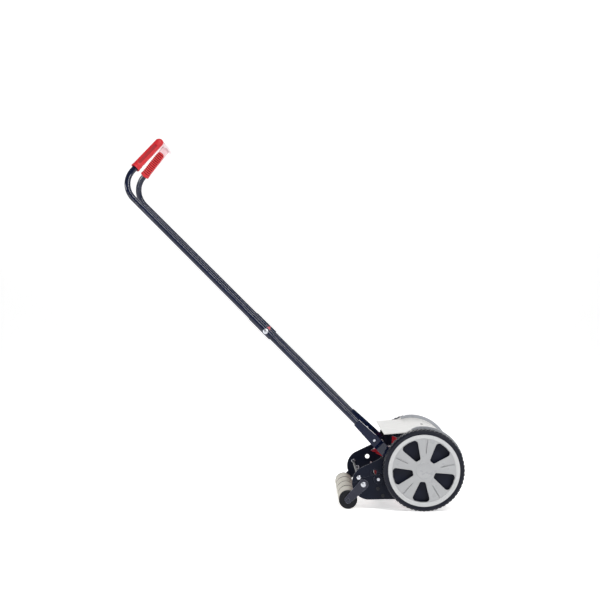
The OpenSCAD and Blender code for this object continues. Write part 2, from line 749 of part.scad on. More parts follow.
// ---------- rear roller ----------
module roller_arm(s) {
    color("#3c3b49") place() on_side(s) difference() {
        slab(arm_in, arm_out) hull() {
            translate(roller) circle(11, $fn = 48);
            translate(roller_pivot) circle(15, $fn = 48);
            translate(roller_pivot + [-4, 13]) circle(3, $fn = 24);
        }
        rod(roller, roller_shaft_r, arm_in - clear, arm_out + clear);
        rod(roller_pivot, pivot_bolt_r + run_gap, arm_in - clear, arm_out + clear);
    }
}

module roller_shaft() { color("#6f7378") place() rod(roller, roller_shaft_r, -arm_out, arm_out); }

module roller_end_discs() {
    color("#15171b") place() both_sides() turned(roller) {
        y1 = arm_in - 0.6;
        y0 = y1 - end_disc_t;
        polygon([[roller_shaft_r, y0], [roller_r - 2, y0], [roller_r - 0.5, y0 + 1.5], [roller_r - 0.5, y1 - 1],
                 [roller_r - 2, y1], [roller_r - 6, y1], [roller_r - 7, y1 - 1], [roller_shaft_r, y1 - 1]]);
    }
}

// Four segments share the shaft, each with chamfered ends
module roller_segment(i) {
    pitch = 2 * (arm_in - 0.6 - end_disc_t) / 4;
    y0 = (i - 3) * pitch + segment_gap / 2;
    y1 = y0 + pitch - segment_gap;
    c = 3;
    color("#ddd8cb") place() turned(roller) polygon([[roller_shaft_r + run_gap, y0], [roller_r - c, y0],
        [roller_r, y0 + c], [roller_r, y1 - c], [roller_r - c, y1], [roller_shaft_r + run_gap, y1]]);
}

// ---------- handle ----------
// Half width of the bracket at a distance along the handle line
function bracket_half(t) = t < bracket_bolt_s ? mix(bracket_foot, bracket_waist, t / bracket_bolt_s)
    : mix(bracket_waist, lower_r + socket_wall, (t - bracket_bolt_s) / (socket_end - bracket_bolt_s));

module bracket_profile(inset, t0, t1, foot = []) {
    ts = t0 < bracket_bolt_s ? [t0, bracket_bolt_s, t1] : [t0, t1];
    n = len(ts) - 1;
    polygon(concat([for (t = ts) [t, bracket_half(t) - inset]],
                   [for (i = [n:-1:0]) [ts[i], inset - bracket_half(ts[i])]], foot));
}

// Distance of the lower tube's middle from the mower's middle plane, along the handle line
function tube_y(t) = bracket_mid - (t - socket_start) * (bracket_mid - corner_y) / (lower_len + upper_len - socket_start);

// Turns [along the handle line, up from it] into the side view
module on_handle_line() { translate(handle_pivot) rotate(180 - handle_angle) mirror([0, 1]) children(); }

// The bracket seen along the handle's width: a flat foot that opens into a box round the tube
module bracket_depth(wall, t0, t1) {
    d = lower_r + socket_wall - wall;
    foot = wall > 0 ? [] : [[-bracket_foot - 1, bracket_in], [socket_start - 8, bracket_in]];
    head = wall > 0 ? [] : [[socket_start - 8, bracket_out], [-bracket_foot - 1, bracket_out]];
    polygon(concat(foot, [[t0, tube_y(t0) - d], [t1, tube_y(t1) - d], [t1, tube_y(t1) + d], [t0, tube_y(t0) + d]], head));
}

module handle_bracket(s) {
    color("#2a2f3a") place() on_side(s) difference() {
        intersection() {
            slab(0, wheel_out) on_handle_line() {
                bracket_profile(0, 0, socket_end, arc(bracket_foot, 265, 95, 17));
            }
            across_handle(40) bracket_depth(0, socket_start + 2, socket_end);
        }
        intersection() {
            slab(0, wheel_out) on_handle_line() bracket_profile(socket_wall - socket_slip, socket_start + 6, socket_end + 1);
            across_handle(41) bracket_depth(socket_wall - socket_slip, socket_start + 6, socket_end + 1);
        }
        rod(handle_pivot, pivot_bolt_r + run_gap, bracket_in - clear, bracket_out + clear);
        rod(handle_pivot + bracket_bolt_s * handle_dir, bolt_r, bracket_in - 2 * lower_r, wheel_out);
    }
}

// A solid from an outline in [along the handle line, y], h to each side of the line
module across_handle(h) {
    translate([handle_pivot[0], 0, handle_pivot[1]]) rotate([0, handle_angle - 180, 0])
        translate([0, 0, -h]) linear_extrude(2 * h) children();
}

module lower_tube(s) {
    top = joint3 + (sleeve_below + 6) * tube_dir;
    color("#262b36") place() on_side(s) difference() {
        pipe(foot3 + 8 * tube_dir, top, lower_r, lower_r - tube_wall);
        rod(joint, bolt_r, joint_y - 20, joint_y + 20);
        rod(handle_pivot + bracket_bolt_s * handle_dir, bolt_r, bracket_mid - 20, bracket_mid + 20);
    }
}

// The upper tube's outside or its bore, in the bend's own frame: a widened sleeve, a straight run,
// the bend and a short run into the grip
module upper_run(sleeve, r, over) {
    straight = norm(corner3 - joint3) - bend_tan;
    translate([bend_r, 0, 0]) rotate([90, 0, 0]) rotate_extrude() polygon([[0, 0], [r, 0],
        [r, straight - sleeve_above - sleeve_taper], [sleeve, straight - sleeve_above],
        [sleeve, straight + sleeve_below + over], [0, straight + sleeve_below + over]]);
    rotate_extrude(angle = 180 - 2 * bend_half) translate([bend_r, 0]) circle(r);
    rotate([0, 0, 180 - 2 * bend_half]) translate([bend_r, -0.5 - over / 10, 0]) rotate([-90, 0, 0])
        cylinder(r = r + 0.02, h = tube_end - bend_tan + 0.5 + over * 1.1);
}

module in_bend() {
    multmatrix([for (i = [0:2]) [bend_x[i], bend_y[i], bend_z[i], bend_mid[i]]]) children();
}

module upper_tube(s) {
    color("#262b36") place() on_side(s) difference() {
        in_bend() difference() {
            upper_run(sleeve_r, upper_r, 0);
            upper_run(lower_r + socket_slip, upper_r - tube_wall, 1);
        }
        rod(joint, bolt_r, joint_y - 20, joint_y + 20);
    }
}

// A grip: a closed sleeve with a collar at its mouth, a round end, cross ribs and a long groove
module grip(s) {
    n = rib_count;
    depth = grip_len - 12;
    color("#c8323c") place() on_side(s) along(grip_foot3, tip3) difference() {
        union() {
            rotate_extrude() polygon(concat([[0, 0], [grip_r + 0.8, 0], [grip_r + 0.8, 3], [grip_r, 5]],
                [for (i = [0:8]) [grip_r * cos(i * 11.25), grip_len - grip_r + grip_r * sin(i * 11.25)]]));
            for (i = [0:n - 1]) translate([0, 0, mix(rib_first, rib_last, i / n)])
                rotate([0, 0, -150]) rotate_extrude(angle = 120) translate([grip_r - 1, 0]) square([2, rib_w]);
        }
        translate([0, 0, -1]) cylinder(r = upper_r + run_gap, h = depth + 1);
        translate([0, 0, -1]) cylinder(r1 = upper_r + 3, r2 = upper_r, h = 7);
        translate([0, grip_r + 0.9, 16]) cylinder(r = 2.2, h = grip_len - 44);
    }
}

// Moulded bridge that spans the two grip ends, a curved shell with a dark bead on its upper edge
module grip_bridge() {
    c = tip3 - 20 * grip_dir;
    half = c[1] - 2;
    color("#e3dcdc") place() difference() {
        slab(-half, half) translate([c[0] + 3, c[2] - 3]) difference() {
            circle(19);
            circle(15.5);
            polygon([[0, 0], [-60, 60], [-60, -60], [0, -60], [20, -60]]);
        }
        both_sides() along(grip_foot3, tip3) {
            cylinder(r = grip_r + 0.3, h = grip_len + 0.3);
            cylinder(r = grip_r + 1.3, h = rib_last + 0.3);
        }
    }
}

// ---------- handle fasteners ----------
module bracket_bolts() {
    y1 = tube_y(bracket_bolt_s) + lower_r + socket_wall + bracket_head_r * lean;
    p = handle_pivot + bracket_bolt_s * handle_dir;
    color("#c9ccd0") place() both_sides() {
        rod(p, bolt_r, y1 - 24, y1);
        translate([p[0], y1, p[1]]) rotate([-90, 0, 0]) pan_head(bracket_head_r, 3.2);
    }
}

module joint_bolts() {
    y1 = joint_y + sleeve_r + joint_head_r * lean;
    color("#c9ccd0") place() both_sides() {
        rod(joint, bolt_r, joint_y - sleeve_r - 9, y1);
        translate([joint[0], y1, joint[1]]) rotate([-90, 0, 0]) pan_head(joint_head_r, 4.4);
    }
}

module wing_nuts() {
    barrel = 7;
    y0 = joint_y - sleeve_r - barrel * lean - 0.05;
    color("#c0444c") place() both_sides() difference() {
        union() {
            rod(joint, barrel, y0 - wing_h, y0);
            translate([joint[0] - wing_span / 2, y0 - 1.5 * wing_h, joint[1] - 2]) cube([wing_span, wing_h, 4]);
        }
        rod(joint, bolt_r, y0 - 2 * wing_h, y0 + clear);
    }
}

// ---------- output ----------
side_plate(1);  // side_plate_left
side_plate(-1);  // side_plate_right
top_cover();
cover_screws();
front_tie_rod();
rear_tie_rod();
tie_rod_nuts();
axle(1);  // axle_left
axle(-1);  // axle_right
axle_clips();
reel_bearings();
dust_cover(1);  // dust_cover_left
dust_cover(-1);  // dust_cover_right
bedknife();
bedknife_bar();
bedknife_screws();
bedknife_bolts();
adjuster_bosses();
adjuster_bolts();
handle_pivot_bolts();
handle_stops();
roller_pivot_bolts();
tyre(1);  // tyre_left
wheel_body(1);  // wheel_body_left
wheel_cap(1);  // wheel_cap_left
tyre(-1);  // tyre_right
wheel_body(-1);  // wheel_body_right
wheel_cap(-1);  // wheel_cap_right
reel_shaft();
reel_spiders();
reel_blade(1);  // reel_blade_1
reel_blade(2);  // reel_blade_2
reel_blade(3);  // reel_blade_3
reel_blade(4);  // reel_blade_4
reel_blade(5);  // reel_blade_5
pawl_keys();
shaft_clips();
pinion(1);  // pinion_left
pinion(-1);  // pinion_right
roller_arm(1);  // roller_arm_left
roller_arm(-1);  // roller_arm_right
roller_shaft();
roller_end_discs();
roller_segment(1);  // roller_segment_1
roller_segment(2);  // roller_segment_2
roller_segment(3);  // roller_segment_3
roller_segment(4);  // roller_segment_4
handle_bracket(1);  // handle_bracket_left
handle_bracket(-1);  // handle_bracket_right
lower_tube(1);  // lower_tube_left
lower_tube(-1);  // lower_tube_right
upper_tube(1);  // upper_tube_left
upper_tube(-1);  // upper_tube_right
grip(1);  // grip_left
grip(-1);  // grip_right
grip_bridge();
bracket_bolts();
joint_bolts();
wing_nuts();
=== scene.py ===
"""Reel mower: finishes, dressed surfaces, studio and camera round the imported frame."""

import logging
from dataclasses import dataclass, replace
from enum import Enum
from math import radians

import bmesh
import bpy
import numpy as np
from mathutils import Matrix, Vector

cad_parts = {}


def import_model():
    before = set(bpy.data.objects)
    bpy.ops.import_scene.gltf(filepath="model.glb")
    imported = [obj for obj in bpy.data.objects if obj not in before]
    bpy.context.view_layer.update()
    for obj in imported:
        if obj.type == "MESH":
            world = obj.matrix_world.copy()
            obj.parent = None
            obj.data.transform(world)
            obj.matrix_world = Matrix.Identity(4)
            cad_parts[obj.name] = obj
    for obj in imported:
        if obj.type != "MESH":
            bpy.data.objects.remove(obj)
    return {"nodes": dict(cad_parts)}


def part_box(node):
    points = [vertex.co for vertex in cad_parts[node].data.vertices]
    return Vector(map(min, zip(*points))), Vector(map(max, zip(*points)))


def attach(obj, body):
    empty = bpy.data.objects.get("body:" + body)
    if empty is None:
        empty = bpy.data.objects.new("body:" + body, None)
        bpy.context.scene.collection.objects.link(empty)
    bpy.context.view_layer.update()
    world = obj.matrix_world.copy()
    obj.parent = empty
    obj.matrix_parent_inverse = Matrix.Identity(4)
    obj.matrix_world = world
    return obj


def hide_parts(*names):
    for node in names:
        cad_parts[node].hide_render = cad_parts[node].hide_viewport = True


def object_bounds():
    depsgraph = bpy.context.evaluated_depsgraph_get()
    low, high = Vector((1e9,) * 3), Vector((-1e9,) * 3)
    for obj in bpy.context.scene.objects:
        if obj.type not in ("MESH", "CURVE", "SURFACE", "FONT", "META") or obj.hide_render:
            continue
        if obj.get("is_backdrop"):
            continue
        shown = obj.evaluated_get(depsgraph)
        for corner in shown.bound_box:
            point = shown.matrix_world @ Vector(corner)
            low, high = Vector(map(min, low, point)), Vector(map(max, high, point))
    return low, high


LOG = logging.getLogger("reel_mower")
Colour = tuple[float, float, float, float]
# the x and z of a line along Y, in metres
Place = tuple[float, float]
# the points and the quads of a surface
Grid = tuple[np.ndarray, np.ndarray]
# what a shader node's input takes: a number or another node's output
Value = float | bpy.types.NodeSocket


def srgb(r: int, g: int, b: int) -> Colour:
    """Turns display values into the linear colour that a shader takes.

    Args:
        r: red, 0 to 255.
        g: green, 0 to 255.
        b: blue, 0 to 255.

    Returns:
        The colour, opaque.
    """
    c = np.array([r, g, b]) / 255.0
    lin = np.where(c <= 0.04045, c / 12.92, ((c + 0.055) / 1.055) ** 2.4)
    return (float(lin[0]), float(lin[1]), float(lin[2]), 1.0)


# ---------------------------------------------------------------- shader groups
class Effects:
    """The surface effects that the finishes share, each one a node group that is built once."""

    BEVEL_SAMPLES = 4
    # the share of the edge wear and painted edge highlight that the noise never breaks up, and how fast a
    # corner wears through
    WEAR_FLOOR, WEAR_GAIN = 0.4, 9.0
    # the slow waves' scale as a share of the grain's
    WAVE_SHARE = 0.06
    # the noise values that the patches spread over their whole range
    PATCH_RANGE = (0.3, 0.7)

    @staticmethod
    def _new(name: str, ins: dict[str, float],
             out: str) -> tuple[bpy.types.NodeTree, bpy.types.Node, bpy.types.Node]:
        """Starts a group with number sockets.

        Args:
            name: the group's name.
            ins: input names with their usual values.
            out: the output's name.

        Returns:
            The tree, its input node and its output node.
        """
        tree = bpy.data.node_groups.new(name, "ShaderNodeTree")
        for label, value in ins.items():
            socket = tree.interface.new_socket(name=label, in_out="INPUT", socket_type="NodeSocketFloat")
            socket.default_value = value
        tree.interface.new_socket(name=out, in_out="OUTPUT", socket_type="NodeSocketFloat")
        return tree, tree.nodes.new("NodeGroupInput"), tree.nodes.new("NodeGroupOutput")

    @staticmethod
    def _math(tree: bpy.types.NodeTree, op: str, a: Value, b: Value = 0.0) -> bpy.types.NodeSocket:
        """Adds a Math node.

        Args:
            tree: where it goes.
            op: the operation.
            a: a socket or a number.
            b: a socket or a number.

        Returns:
            The result socket.
        """
        node = tree.nodes.new("ShaderNodeMath")
        node.operation = op
        for i, v in enumerate((a, b)):
            if isinstance(v, float):
                node.inputs[i].default_value = v
            else:
                tree.links.new(v, node.inputs[i])
        return node.outputs[0]

    @classmethod
    def wear_and_highlight(cls) -> bpy.types.NodeTree:
        """Worn edges and painted edge highlights: 1 along corners where the rounded and the true normal
        differ, broken up by noise.

        Returns:
            The group, with the inputs Width, Amount and Scale and the output Mask.
        """
        if "edge_wear_and_highlight" in bpy.data.node_groups:
            return bpy.data.node_groups["edge_wear_and_highlight"]
        tree, gin, gout = cls._new("edge_wear_and_highlight", {"Width": 0.001, "Amount": 1.0, "Scale": 120.0}, "Mask")
        geo = tree.nodes.new("ShaderNodeNewGeometry")
        bevel = tree.nodes.new("ShaderNodeBevel")
        bevel.samples = cls.BEVEL_SAMPLES
        tree.links.new(gin.outputs["Width"], bevel.inputs["Radius"])
        dot = tree.nodes.new("ShaderNodeVectorMath")
        dot.operation = "DOT_PRODUCT"
        tree.links.new(bevel.outputs[0], dot.inputs[0])
        tree.links.new(geo.outputs["Normal"], dot.inputs[1])
        edge = cls._math(tree, "SUBTRACT", 1.0, dot.outputs["Value"])
        noise = cls._noise(tree, gin.outputs["Scale"], 4.0)
        broken = cls._math(tree, "MULTIPLY", edge, cls._math(tree, "ADD", noise, cls.WEAR_FLOOR))
        gain = cls._math(tree, "MULTIPLY", gin.outputs["Amount"], cls.WEAR_GAIN)
        scaled = cls._math(tree, "MULTIPLY", broken, gain)
        ramp = tree.nodes.new("ShaderNodeClamp")
        tree.links.new(scaled, ramp.inputs[0])
        tree.links.new(ramp.outputs[0], gout.inputs["Mask"])
        return tree

    @classmethod
    def _noise(cls, tree: bpy.types.NodeTree, scale: bpy.types.NodeSocket,
               detail: float) -> bpy.types.NodeSocket:
        """Adds noise on Object coordinates.

        Args:
            tree: where it goes.
            scale: a socket that gives the scale.
            detail: the number of octaves.

        Returns:
            The noise value's socket.
        """
        coord = tree.nodes.new("ShaderNodeTexCoord")
        noise = tree.nodes.new("ShaderNodeTexNoise")
        noise.inputs["Detail"].default_value = detail
        tree.links.new(coord.outputs["Object"], noise.inputs["Vector"])
        tree.links.new(scale, noise.inputs["Scale"])
        return noise.outputs["Fac"]

    @classmethod
    def grain(cls) -> bpy.types.NodeTree:
        """Grain: fine noise for a bump, with slow waves of a paint film under it.

        Returns:
            The group, with the inputs Scale and Waviness and the output Height.
        """
        if "surface_grain" in bpy.data.node_groups:
            return bpy.data.node_groups["surface_grain"]
        tree, gin, gout = cls._new("surface_grain", {"Scale": 1500.0, "Waviness": 0.5}, "Height")
        fine = cls._noise(tree, gin.outputs["Scale"], 2.0)
        slow = cls._noise(tree, cls._math(tree, "MULTIPLY", gin.outputs["Scale"], cls.WAVE_SHARE), 2.0)
        total = cls._math(tree, "ADD", fine, cls._math(tree, "MULTIPLY", slow, gin.outputs["Waviness"]))
        tree.links.new(total, gout.inputs["Height"])
        return tree

    @classmethod
    def tone(cls) -> bpy.types.NodeTree:
        """Tone: slow patches that lighten and darken a surface a little.

        Returns:
            The group, with the inputs Scale, Low and High and the output Value.
        """
        if "patchy_tone" in bpy.data.node_groups:
            return bpy.data.node_groups["patchy_tone"]
        tree, gin, gout = cls._new("patchy_tone", {"Scale": 18.0, "Low": 0.0, "High": 1.0}, "Value")
        noise = cls._noise(tree, gin.outputs["Scale"], 5.0)
        span = tree.nodes.new("ShaderNodeMapRange")
        span.inputs["From Min"].default_value, span.inputs["From Max"].default_value = cls.PATCH_RANGE
        tree.links.new(noise, span.inputs["Value"])
        tree.links.new(gin.outputs["Low"], span.inputs["To Min"])
        tree.links.new(gin.outputs["High"], span.inputs["To Max"])
        tree.links.new(span.outputs[0], gout.inputs["Value"])
        return tree

    @classmethod
    def beyond(cls) -> bpy.types.NodeTree:
        """Beyond: 1 where a point is farther than Radius from the Y line through X, Z and ahead of From X.

        Returns:
            The group, with the inputs X, Z, Radius and From X and the output Mask.
        """
        if "beyond_radius" in bpy.data.node_groups:
            return bpy.data.node_groups["beyond_radius"]
        usual = {"X": 0.0, "Z": 0.0, "Radius": 0.1, "From X": 0.0}
        tree, gin, gout = cls._new("beyond_radius", usual, "Mask")
        coord = tree.nodes.new("ShaderNodeTexCoord")
        parts = tree.nodes.new("ShaderNodeSeparateXYZ")
        tree.links.new(coord.outputs["Object"], parts.inputs[0])
        dx = cls._math(tree, "SUBTRACT", parts.outputs["X"], gin.outputs["X"])
        dz = cls._math(tree, "SUBTRACT", parts.outputs["Z"], gin.outputs["Z"])
        square = cls._math(tree, "ADD", *(cls._math(tree, "MULTIPLY", d, d) for d in (dx, dz)))
        far = cls._math(tree, "GREATER_THAN", cls._math(tree, "SQRT", square), gin.outputs["Radius"])
        ahead = cls._math(tree, "GREATER_THAN", parts.outputs["X"], gin.outputs["From X"])
        tree.links.new(cls._math(tree, "MULTIPLY", far, ahead), gout.inputs["Mask"])
        return tree


# ---------------------------------------------------------------- finishes
# how much finer a finish's roughness drifts than its colour
ROUGH_PATCHES = 2.3
# the numbers of a Mix node's colour sockets
MIX_A, MIX_B, MIX_RESULT = 6, 7, 2


@dataclass(frozen=True)
class Finish:
    """One finish of the mower: a base colour that drifts, a roughness that drifts and a fine bump.

    Lengths are in metres. Worn edges show the colour and the metal below the coat; on the frame and the
    roller arm they also stand for the painted highlight along edges.
    """

    name: str
    base: Colour
    drift: Colour
    rough: tuple[float, float] = (0.35, 0.45)
    metallic: float = 0.0
    specular: float = 0.5
    coat: float = 0.0
    coat_rough: float = 0.1
    tone_scale: float = 18.0
    grain_scale: float = 1500.0
    grain_depth: float = 0.00002
    waviness: float = 0.5
    worn: Colour = (0.4, 0.4, 0.42, 1.0)
    wear_and_highlight: float = 0.0
    wear_and_highlight_width: float = 0.0008

    def build(self) -> bpy.types.Material:
        """Builds the material, or gives the one already built.

        Returns:
            The material.
        """
        label = f"finish_{self.name}"
        if label in bpy.data.materials:
            return bpy.data.materials[label]
        mat = bpy.data.materials.new(label)
        mat.use_nodes = True
        tree = mat.node_tree
        shader = tree.nodes["Principled BSDF"]
        shader.inputs["Metallic"].default_value = self.metallic
        shader.inputs["Specular IOR Level"].default_value = self.specular
        shader.inputs["Coat Weight"].default_value = self.coat
        shader.inputs["Coat Roughness"].default_value = self.coat_rough
        self.colour(tree, shader)
        self.relief(tree, shader)
        return mat

    def group(self, tree: bpy.types.NodeTree, effect: bpy.types.NodeTree, **values: float) -> bpy.types.Node:
        """Places a shared effect in a material.

        Args:
            tree: the material's tree.
            effect: the node group.
            values: this finish's values for the group's inputs.

        Returns:
            The group node.
        """
        node = tree.nodes.new("ShaderNodeGroup")
        node.node_tree = effect
        for label, value in values.items():
            node.inputs[label].default_value = value
        return node

    def mix(self, tree: bpy.types.NodeTree, fac: bpy.types.NodeSocket, a: Colour | bpy.types.NodeSocket,
            b: Colour | bpy.types.NodeSocket) -> bpy.types.NodeSocket:
        """Mixes two colours.

        Args:
            tree: the material's tree.
            fac: the mask's socket.
            a: colour or socket where the mask is 0.
            b: colour or socket where the mask is 1.

        Returns:
            The mixed colour's socket.
        """
        node = tree.nodes.new("ShaderNodeMix")
        node.data_type = "RGBA"
        tree.links.new(fac, node.inputs[0])
        for i, v in ((MIX_A, a), (MIX_B, b)):
            if isinstance(v, tuple):
                node.inputs[i].default_value = v
            else:
                tree.links.new(v, node.inputs[i])
        return node.outputs[MIX_RESULT]

    def colour(self, tree: bpy.types.NodeTree, shader: bpy.types.Node) -> None:
        """Links the drifting colour and roughness, and the edge colour for paint that wears through and for
        painted highlights.

        Args:
            tree: the material's tree.
            shader: its Principled BSDF.
        """
        tone = self.group(tree, Effects.tone(), Scale=self.tone_scale, Low=0.0, High=1.0)
        out = self.mix(tree, tone.outputs["Value"], self.base, self.drift)
        if self.wear_and_highlight > 0:
            worn = self.group(tree, Effects.wear_and_highlight(), Width=self.wear_and_highlight_width, Amount=self.wear_and_highlight)
            out = self.mix(tree, worn.outputs["Mask"], out, self.worn)
            tree.links.new(worn.outputs["Mask"], shader.inputs["Metallic"])
        tree.links.new(out, shader.inputs["Base Color"])
        rough = self.group(tree, Effects.tone(), Scale=self.tone_scale * ROUGH_PATCHES,
                           Low=self.rough[0], High=self.rough[1])
        tree.links.new(rough.outputs["Value"], shader.inputs["Roughness"])

    def relief(self, tree: bpy.types.NodeTree, shader: bpy.types.Node) -> None:
        """Links the fine bump.

        Args:
            tree: the material's tree.
            shader: its Principled BSDF.
        """
        grain = self.group(tree, Effects.grain(), Scale=self.grain_scale, Waviness=self.waviness)
        bump = tree.nodes.new("ShaderNodeBump")
        bump.inputs["Distance"].default_value = self.grain_depth
        tree.links.new(grain.outputs["Height"], bump.inputs["Height"])
        tree.links.new(bump.outputs["Normal"], shader.inputs["Normal"])


@dataclass(frozen=True)
class ShadedRimFinish(Finish):
    """A finish with a grey of painted shade on a rim that stands out round the wheels' axle.

    Lengths are in metres. The rim's painted shade starts a little behind the axle, at rim_from from it.
    """

    # painted shade: the grey that the cover's rims take
    rim: Colour = (0.4, 0.4, 0.4, 1.0)
    axle: Place = (0.0, 0.0)
    rim_radius: float = 0.1178
    rim_from: float = -0.0343

    def colour(self, tree: bpy.types.NodeTree, shader: bpy.types.Node) -> None:
        """Links the drifting colour as for a plain finish, then lays the rim's painted shade over it.

        Args:
            tree: the material's tree.
            shader: its Principled BSDF.
        """
        super().colour(tree, shader)
        before = shader.inputs["Base Color"].links[0].from_socket
        mask = self.group(tree, Effects.beyond(), **{"X": self.axle[0], "Z": self.axle[1],
                                                     "Radius": self.rim_radius,
                                                     "From X": self.axle[0] + self.rim_from})
        tree.links.new(self.mix(tree, mask.outputs["Mask"], before, self.rim), shader.inputs["Base Color"])


# painted highlight: the frame's light, metallic worn edges also stand for the light caught along the plates'
# edges
FRAME_PAINT = Finish("frame_paint", srgb(10, 15, 30), srgb(14, 20, 36), (0.32, 0.46), specular=0.14,
                     worn=srgb(110, 114, 128), wear_and_highlight=0.45)
TUBE_PAINT = Finish("tube_paint", srgb(8, 16, 40), srgb(12, 21, 47), (0.10, 0.14), specular=0.12, coat=0.6,
                    coat_rough=0.03, waviness=0.0, grain_depth=0.0000004)
# painted shade: the cover's rims beyond rim_radius from the axle are laid grey (152, 155, 160)
COVER_PAINT = ShadedRimFinish("cover_paint", srgb(214, 213, 211), srgb(208, 207, 205), (0.28, 0.4), coat=0.1,
                           grain_depth=0.00001, rim=srgb(152, 155, 160))
ZINC = Finish("zinc", srgb(212, 214, 220), srgb(188, 190, 198), (0.24, 0.36), metallic=1.0,
              grain_scale=2500.0)
BOLT_BLACK = Finish("bolt_black", srgb(14, 16, 24), srgb(20, 22, 30), (0.34, 0.46), specular=0.3)
DARK_STEEL = Finish("dark_steel", srgb(52, 54, 60), srgb(40, 42, 48), (0.35, 0.5), metallic=0.8)
ROD_STEEL = Finish("rod_steel", srgb(18, 21, 30), srgb(24, 27, 36), (0.3, 0.4), specular=0.2)
KNIFE_STEEL = Finish("knife_steel", srgb(172, 174, 178), srgb(142, 144, 150), (0.3, 0.45), metallic=1.0)
EDGE_STEEL = Finish("ground_edge", srgb(214, 214, 216), srgb(186, 186, 190), (0.22, 0.34), metallic=1.0,
                    grain_scale=3200.0)
REEL_PAINT = Finish("reel_paint", srgb(186, 20, 38), srgb(158, 14, 28), (0.25, 0.4), specular=0.4, coat=0.3,
                    worn=srgb(205, 205, 208), wear_and_highlight=0.5)
TYRE_RUBBER = Finish("tyre_rubber", srgb(8, 11, 24), srgb(12, 15, 29), (0.3, 0.44), specular=0.25,
                     grain_scale=900.0, grain_depth=0.00004)
WHEEL_PLASTIC = Finish("wheel_plastic", srgb(11, 15, 33), srgb(15, 20, 39), (0.4, 0.5), specular=0.2)
CAP_PLASTIC = Finish("cap_plastic", srgb(180, 181, 182), srgb(176, 177, 178), (0.26, 0.32), coat=0.1,
                     grain_depth=0.00001)
CAP_DISC = Finish("cap_disc", srgb(156, 157, 159), srgb(152, 153, 155), (0.26, 0.32), coat=0.1,
                  grain_depth=0.00001)
GEAR_PLASTIC = Finish("gear_plastic", srgb(110, 112, 116), srgb(96, 98, 102), (0.45, 0.6))
ROLLER_CREAM = Finish("roller_cream", srgb(192, 188, 178), srgb(178, 173, 162), (0.45, 0.6),
                      grain_depth=0.00003)
ROLLER_BLACK = Finish("roller_black", srgb(8, 10, 17), srgb(13, 15, 23), (0.42, 0.56), specular=0.25)
# painted highlight: the arm's wide light worn edges also stand for the pale light along its outline
ARM_PAINT = Finish("arm_paint", srgb(30, 32, 46), srgb(37, 38, 53), (0.28, 0.4), specular=0.3, coat=0.1,
                   worn=srgb(140, 144, 158), wear_and_highlight=0.6, wear_and_highlight_width=0.0012)
GRIP_RED = Finish("grip_red", srgb(190, 26, 36), srgb(174, 20, 30), (0.34, 0.46), specular=0.35,
                  grain_depth=0.00004)
# painted shade: the near-black red in the grip's rib valleys
GRIP_VALLEY_SHADE = Finish("grip_valley_shade", srgb(62, 4, 10), srgb(56, 4, 9), (0.45, 0.6), specular=0.2,
                   grain_depth=0.00004)
# painted highlight: the brighter red on the grip ribs' crests
GRIP_CREST_HIGHLIGHT = Finish("grip_ridge", srgb(218, 44, 50), srgb(208, 38, 44), (0.34, 0.46), specular=0.4,
                    grain_depth=0.00004)
GRIP_SHADE = Finish("grip_shade", srgb(150, 18, 28), srgb(138, 15, 25), (0.4, 0.5), specular=0.3,
                    grain_depth=0.00004)
# painted highlight: the pale pink along the grip's front edge and on its inner side past the ribbed pad
GRIP_PALE_HIGHLIGHT = Finish("grip_pale", srgb(228, 196, 200), srgb(222, 186, 190), (0.3, 0.4))
BRIDGE_WHITE = Finish("bridge_white", srgb(222, 206, 208), srgb(212, 194, 198), (0.3, 0.4))
# painted shade: the dark band along the bridge shell's upper edge
BRIDGE_EDGE_SHADE = Finish("bridge_edge_shade", srgb(74, 40, 44), srgb(62, 34, 38), (0.4, 0.5), specular=0.3)
WING_RED = Finish("wing_red", srgb(192, 92, 100), srgb(180, 80, 90), (0.35, 0.45))


class Side(Enum):
    """The two sides of the mower, with the sign of Y."""

    LEFT = 1
    RIGHT = -1

    @property
    def word(self) -> str:
        """The side as the frame's names have it."""
        return self.name.lower()

    def mirror(self, pts: np.ndarray) -> np.ndarray:
        """Mirrors points drawn for the left side when this is the right one."""
        return pts * np.array([1, self.value, 1])


